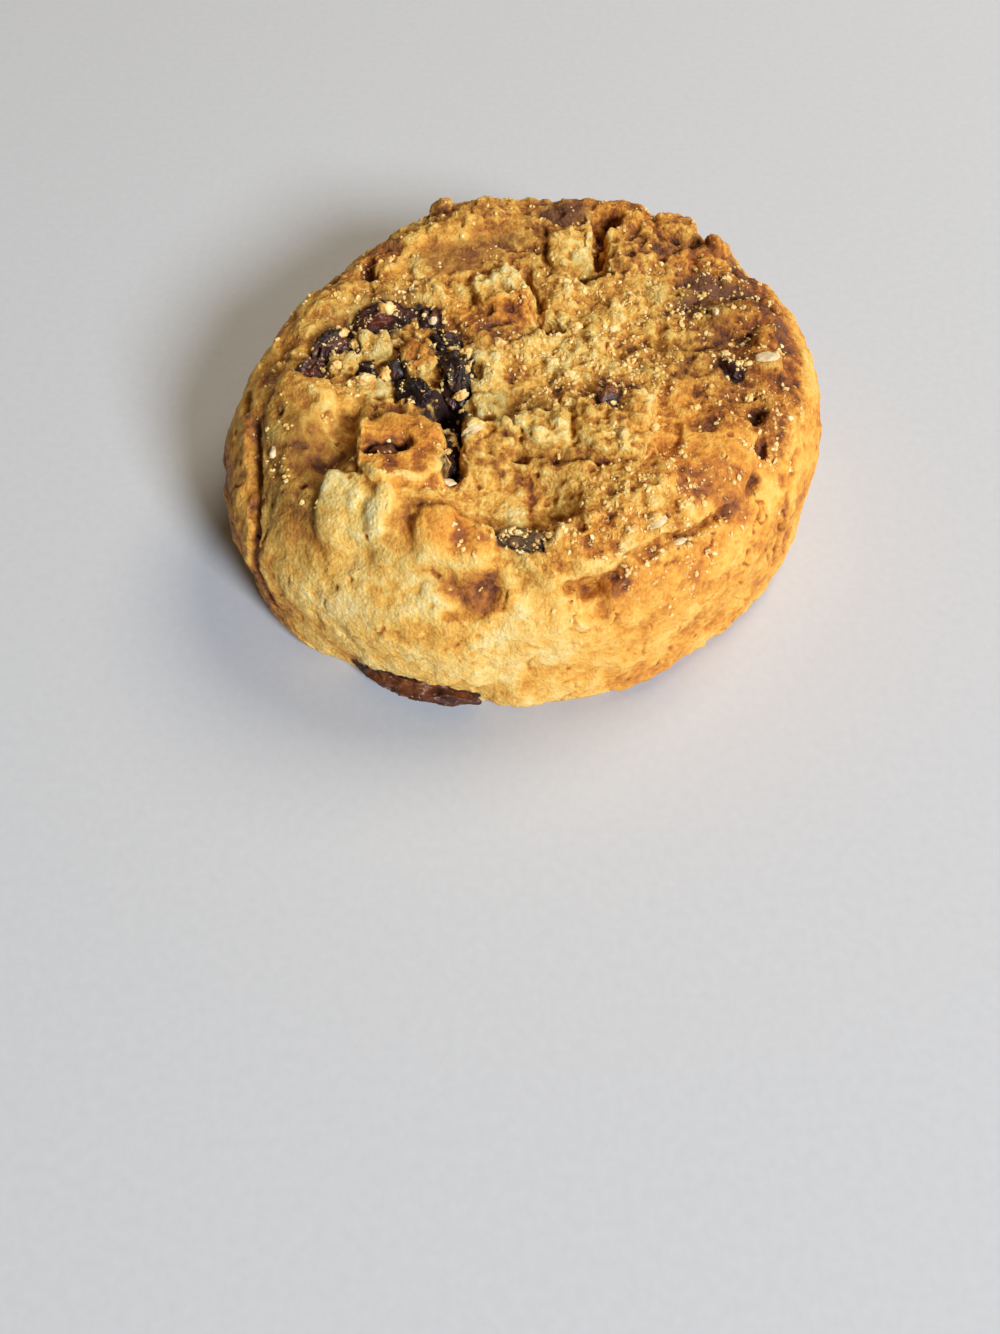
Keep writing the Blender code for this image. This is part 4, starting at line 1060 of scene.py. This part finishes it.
flakes = {
    "shift": (2.9, 6.1, 4.7),
    "halfHeight": 0.28,
    "lift": 0.16,
    "seen": (   # at, half sizes, turn
        ((-9.3, -18.4), (1, 0.5), 5), ((-6.6, -13.6), (1.3, 0.55), 40), ((-28.2, -13.8), (0.35, 0.9), 0),
        ((26.4, -2), (1.4, 0.75), 8), ((21.4, 5.6), (0.4, 0.6), 0), ((-12, -11), (0.2, 0.7), 0),
        ((-4.6, -11.2), (0.35, 0.35), 0), ((-11.5, 5.7), (0.5, 0.8), 10), ((15, -25.4), (0.8, 0.4), 30),
        ((12.6, -24.6), (1.2, 0.5), 40),
    ),
}


def flakeForm(way, size, shift):
    bump = 1.0 + 0.25 * noise.noise(way * 1.6 + shift)
    spot = Vector((way.x * size[0], way.y * size[1], way.z * flakes["halfHeight"])) * bump
    spot.z += 0.12 * noise.noise(spot * 1.5 + shift)
    return spot


def flakeLift(normal, size):
    return normal.lerp(Vector((0.0, 0.0, 1.0)), 0.5).normalized() * flakes["lift"]


# Materials

def nodeMaker(name):
    material = bpy.data.materials.new(name)
    material.use_nodes = True
    tree = material.node_tree
    coords = tree.nodes.new("ShaderNodeTexCoord").outputs["Object"]
    return material, tree, tree.nodes["Principled BSDF"], coords


def feed(tree, node, values):
    # values by socket name or number: another node's output, or a plain value
    for name, value in values.items():
        if isinstance(value, bpy.types.NodeSocket):
            tree.links.new(value, node.inputs[name])
        else:
            node.inputs[name].default_value = value


def addNode(tree, kind, values, **settings):
    node = tree.nodes.new(kind)
    for name, setting in settings.items():
        setattr(node, name, setting)
    feed(tree, node, values)
    return node.outputs


def addNoise(tree, coords, scale, detail, roughness):
    values = {"Scale": scale, "Detail": detail, "Roughness": roughness, "Vector": coords}
    return addNode(tree, "ShaderNodeTexNoise", values)["Fac"]


def addGrains(tree, coords, scale):
    # distance to the middle of each packed grain, and a chance value for it
    grains = addNode(tree, "ShaderNodeTexVoronoi", {"Scale": scale, "Vector": coords})
    split = addNode(tree, "ShaderNodeSeparateColor", {"Color": grains["Color"]})
    return grains["Distance"], split[0]


def addRamp(tree, source, stops):
    node = tree.nodes.new("ShaderNodeValToRGB")
    tree.links.new(source, node.inputs["Fac"])
    elements = node.color_ramp.elements
    elements[0].position = stops[0][0]
    elements[1].position = stops[-1][0]
    for position, colour in stops[1:-1]:
        elements.new(position)
    for element, (position, colour) in zip(elements, stops):
        element.color = (*colour, 1.0)
    return node.outputs["Color"]


def addMix(tree, share, first, second, kind="MIX"):
    values = {0: share, 6: first, 7: second}
    return addNode(tree, "ShaderNodeMix", values, data_type="RGBA", blend_type=kind)[2]


def addMath(tree, kind, first, second, third=0.0):
    return addNode(tree, "ShaderNodeMath", {0: first, 1: second, 2: third}, operation=kind)[0]


def addBump(tree, shader, height, strength, distance):
    values = {"Strength": strength, "Distance": distance, "Height": height}
    feed(tree, shader, {"Normal": addNode(tree, "ShaderNodeBump", values)["Normal"]})


def pointShare(tree, name):
    return addNode(tree, "ShaderNodeAttribute", {}, attribute_name=name)["Fac"]


bakeTones = [   # tone and linear colour, from nearly burnt to palest cream
    (0.00, (0.085, 0.026, 0.010)),
    (0.14, (0.20, 0.062, 0.016)),
    (0.28, (0.38, 0.128, 0.022)),
    (0.42, (0.60, 0.245, 0.030)),
    (0.55, (0.78, 0.390, 0.060)),
    (0.68, (0.90, 0.540, 0.115)),
    (0.82, (0.94, 0.670, 0.215)),
    (1.00, (0.95, 0.780, 0.380)),
]
# colours mixed into the dough and the skins: stains, warm tint, crumb dust and painted shade
tintAndShadeColours = {
    "stained": (0.170, 0.058, 0.022, 1.0),
    # nearly black: raisin juice and painted shade round the raisins
    "juiceAndShade": (0.035, 0.012, 0.008, 1.0),
    "warm": (1.04, 0.86, 0.66, 1.0),
    # olive darkening, multiplied in as painted shade
    "shadeAndDarkCrust": (0.50, 0.49, 0.40, 1.0),
    "dust": (0.62, 0.38, 0.14, 1.0),
}
doughGrit = {   # noise scale, detail and roughness, then shares of the tone and the bump
    "patch": (420.0, 4.0, 0.62),
    "speck": (1500.0, 4.0, 0.7),
    "fine": (2600.0, 4.0, 0.75),
    "grain": 2300.0,
    "toneShares": (0.34, 0.50, 0.20),
    "bumpShares": (0.9, -0.55, 0.25),
    "bump": (0.9, 0.00040),
}


def shareRamp(tree, source, low, high, start=0.0, end=1.0):
    return addRamp(tree, source, [(low, (start,) * 3), (high, (end,) * 3)])


def doughMaterial():
    look = doughGrit
    material, tree, shader, coords = nodeMaker("bakedDough")
    patch = addMath(tree, "SUBTRACT", addNoise(tree, coords, *look["patch"]), 0.5)
    speck = addMath(tree, "SUBTRACT", addNoise(tree, coords, *look["speck"]), 0.5)
    grain, cell = addGrains(tree, coords, look["grain"])
    cell = addMath(tree, "SUBTRACT", cell, 0.5)
    grit = pointShare(tree, "grit")
    tone = pointShare(tree, "tone")
    rough = addMath(tree, "MULTIPLY", speck, grit)
    cells = addMath(tree, "MULTIPLY", cell, grit)
    for part, share in zip((patch, rough, cells), look["toneShares"]):
        tone = addMath(tree, "MULTIPLY_ADD", part, share, tone)
    base = addRamp(tree, tone, bakeTones)
    # the warm tint and the painted olive shade are multiplied over the colour
    for name in ("warm", "shadeAndDarkCrust"):
        base = addMix(tree, pointShare(tree, name), base, tintAndShadeColours[name], "MULTIPLY")
    # purple stain, then raisin juice with painted shade round the raisins, mixed over the colour
    for name, ragged, low, high in (("stained", 0.7, 0.15, 0.90), ("juiceAndShade", 1.2, 0.25, 0.85)):
        stain = addMath(tree, "MULTIPLY_ADD", speck, ragged, pointShare(tree, name))
        base = addMix(tree, shareRamp(tree, stain, low, high), base, tintAndShadeColours[name])
    height = addNoise(tree, coords, *look["fine"])
    for part, share in zip((speck, grain, cell), look["bumpShares"]):
        height = addMath(tree, "MULTIPLY_ADD", part, share, height)
    addBump(tree, shader, addMath(tree, "MULTIPLY", height, grit), *look["bump"])
    feed(tree, shader, {
        "Base Color": base,
        "Roughness": shareRamp(tree, tone, 0.15, 0.60, 0.38, 0.74),
        "Specular IOR Level": 0.4,
        "Subsurface Weight": 0.15,
        "Subsurface Radius": (1.0, 0.45, 0.18),
        "Subsurface Scale": 0.0009,
    })
    return material


def skinMaterial(name, tones, dust, rough):
    # tones run over large patches; dust is how much fine crumb sticks to the skin
    material, tree, shader, coords = nodeMaker(name)
    base = addRamp(tree, addNoise(tree, coords, 330.0, 4.0, 0.6), tones)
    speck = addNoise(tree, coords, 1900.0, 4.0, 0.7)
    dusted = shareRamp(tree, speck, 0.66 - dust, 0.74 - dust)
    gloss = addNoise(tree, coords, 900.0, 3.0, 0.6)
    wrinkles = addNoise(tree, coords, 2200.0, 3.0, 0.6)
    addBump(tree, shader, addMath(tree, "MULTIPLY_ADD", dusted, 0.8, wrinkles), 0.4, 0.00012)
    feed(tree, shader, {
        "Base Color": addMix(tree, dusted, base, tintAndShadeColours["dust"]),
        "Roughness": shareRamp(tree, gloss, 0.35, 0.7, rough, rough + 0.3),
        "Specular IOR Level": 0.4,
    })
    return material


skins = {   # patch tones, crumb dust and roughness
    "black": (
        ((0.34, (0.006, 0.003, 0.004)), (0.55, (0.022, 0.008, 0.007)), (0.70, (0.070, 0.020, 0.012))),
        0.04, 0.30),
    "wine": (
        ((0.36, (0.012, 0.004, 0.004)), (0.52, (0.060, 0.013, 0.009)), (0.68, (0.190, 0.040, 0.020))),
        0.06, 0.30),
    "brown": (
        ((0.34, (0.018, 0.006, 0.004)), (0.50, (0.110, 0.026, 0.008)), (0.70, (0.260, 0.085, 0.022))),
        0.05, 0.34),
    "dusty": (
        ((0.34, (0.045, 0.022, 0.010)), (0.52, (0.140, 0.070, 0.028)), (0.68, (0.360, 0.200, 0.070))),
        0.09, 0.60),
}
skinOf = {
    "raisin_west": "wine", "raisin_west_end": "wine", "raisin_north": "wine", "raisin_north_end": "wine",
    "raisin_basin": "dusty", "raisin_foot": "brown", "raisin_lip": "brown", "raisin_centre": "brown",
    "raisin_right": "wine",
}
toppings = {
    "paleCrumb": {
        "patches": 700.0,
        "tones": ((0.34, (0.62, 0.30, 0.06)), (0.46, (0.82, 0.50, 0.14)), (0.68, (0.92, 0.73, 0.36))),
        "bumps": 3500.0,
        "bumpStrength": 0.4,
        "shader": {
            "Roughness": 0.65,
            "Subsurface Weight": 0.2,
            "Subsurface Radius": (1.0, 0.6, 0.3),
            "Subsurface Scale": 0.0006,
        },
    },
    "oatFlake": {
        "patches": 1100.0,
        "tones": ((0.35, (0.62, 0.42, 0.19)), (0.65, (0.86, 0.70, 0.44))),
        "bumps": 2600.0,
        "bumpStrength": 0.35,
        "shader": {
            "Roughness": 0.55,
            "Subsurface Weight": 0.25,
            "Subsurface Radius": (1.0, 0.7, 0.4),
            "Subsurface Scale": 0.0008,
        },
    },
}


def toppingMaterial(name):
    look = toppings[name]
    material, tree, shader, coords = nodeMaker(name)
    base = addRamp(tree, addNoise(tree, coords, look["patches"], 3.0, 0.6), look["tones"])
    bumps = addNoise(tree, coords, look["bumps"], 2.0, 0.6)
    addBump(tree, shader, bumps, look["bumpStrength"], 0.0001)
    feed(tree, shader, {"Base Color": base, **look["shader"]})
    return material


def floorMaterial():
    material, tree, shader, coords = nodeMaker("paleFloor")
    grey = ((0.3, (0.56, 0.56, 0.565)), (0.7, (0.59, 0.59, 0.595)))
    base = addRamp(tree, addNoise(tree, coords, 900.0, 4.0, 0.6), grey)
    feed(tree, shader, {"Base Color": base, "Roughness": 0.8, "Specular IOR Level": 0.2})
    return material


# Build

doughBody = makeDough()
raisinSkins = makeRaisins()
print("raisins", len(raisinSkins))
paintDough(doughBody, raisinSkins.values())
print("dough", len(doughBody.data.polygons))
ground = treeOf([doughBody, *raisinSkins.values()])
crumbPiece = makeCrumbs(ground)
lumpPiece = makePieces("crumbLumps", lumps, ground, lumpForm, lumpLift)
flakePiece = makePieces("oatFlakes", flakes, ground, flakeForm, flakeLift)
print("crumbs", len(crumbPiece.data.polygons), len(lumpPiece.data.polygons))

doughBody.data.materials.clear()
doughBody.data.materials.append(doughMaterial())
skinStuff = {name: skinMaterial(name + "RaisinSkin", *values) for name, values in skins.items()}
for name, skin in raisinSkins.items():
    skin.data.materials.append(skinStuff[skinOf.get(name, "black")])
crumbStuff = toppingMaterial("paleCrumb")
crumbPiece.data.materials.append(crumbStuff)
lumpPiece.data.materials.append(crumbStuff)
flakePiece.data.materials.append(toppingMaterial("oatFlake"))

for thing in [doughBody, crumbPiece, lumpPiece, flakePiece, *raisinSkins.values()]:
    toFrame(thing)
    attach(thing, "root")
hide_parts("dough")
for name, skin in raisinSkins.items():
    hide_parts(name)
print("frame")


# Floor, light and camera

floorHalf = 1.5   # metres
bm = bmesh.new()
bmesh.ops.create_grid(bm, x_segments=8, y_segments=8, size=floorHalf)
floor = newObject("floor", bm)
floor.data.materials.append(floorMaterial())

light = {
    "keyWay": (0.57, -0.82),
    "keyHeight": 32.0,
    "keyDistance": 1.6,
    "keySize": 0.46,
    "keyPower": 34.5,
    "keyColour": (0.80, 0.88, 1.0),
    "softPlace": (0.42, 0.36, 0.72),
    "softSize": 0.5,
    "softPower": 4.6,
    "softColour": (1.0, 0.91, 0.76),
    "roomColour": (1.0, 0.82, 0.56),
    "roomStrength": 0.09,
}


def areaLight(kind, place, aim):
    data = bpy.data.lights.new(kind, "AREA")
    data.shape = "DISK"
    data.size = light[kind + "Size"]
    data.energy = light[kind + "Power"]
    data.color = light[kind + "Colour"]
    lamp = bpy.data.objects.new(kind, data)
    lamp.location = place
    lamp.rotation_euler = (Vector(aim) - Vector(place)).to_track_quat("-Z", "Y").to_euler()
    bpy.context.scene.collection.objects.link(lamp)


keyRise = math.radians(light["keyHeight"])
level = math.cos(keyRise)
keyPlace = Vector((light["keyWay"][0] * level, light["keyWay"][1] * level, math.sin(keyRise)))
areaLight("key", keyPlace * light["keyDistance"], (0.0, 0.0, 0.01))
areaLight("soft", light["softPlace"], (0.0, 0.0, 0.0))

world = bpy.data.worlds.new("room")
world.use_nodes = True
background = world.node_tree.nodes["Background"]
background.inputs["Color"].default_value = (*light["roomColour"], 1.0)
background.inputs["Strength"].default_value = light["roomStrength"]
bpy.context.scene.world = world
bpy.context.scene.view_settings.view_transform = "Standard"

view = {
    "place": (-3.6, -96.67, 110.73),   # millimetres, before the plan shift
    "pitch": 31.886,
    "lens": 29.685,
    "sensor": 36.0,
    "nearest": 0.005,   # metres
}
cameraData = bpy.data.cameras.new("camera")
cameraData.sensor_width = view["sensor"]
cameraData.lens = view["lens"]
cameraData.clip_start = view["nearest"]
camera = bpy.data.objects.new("camera", cameraData)
place = Vector(view["place"]) + Vector((planShift[0], planShift[1], 0.0))
camera.location = place * mm
camera.rotation_euler = (math.radians(view["pitch"]), 0.0, 0.0)
bpy.context.scene.collection.objects.link(camera)
bpy.context.scene.camera = camera
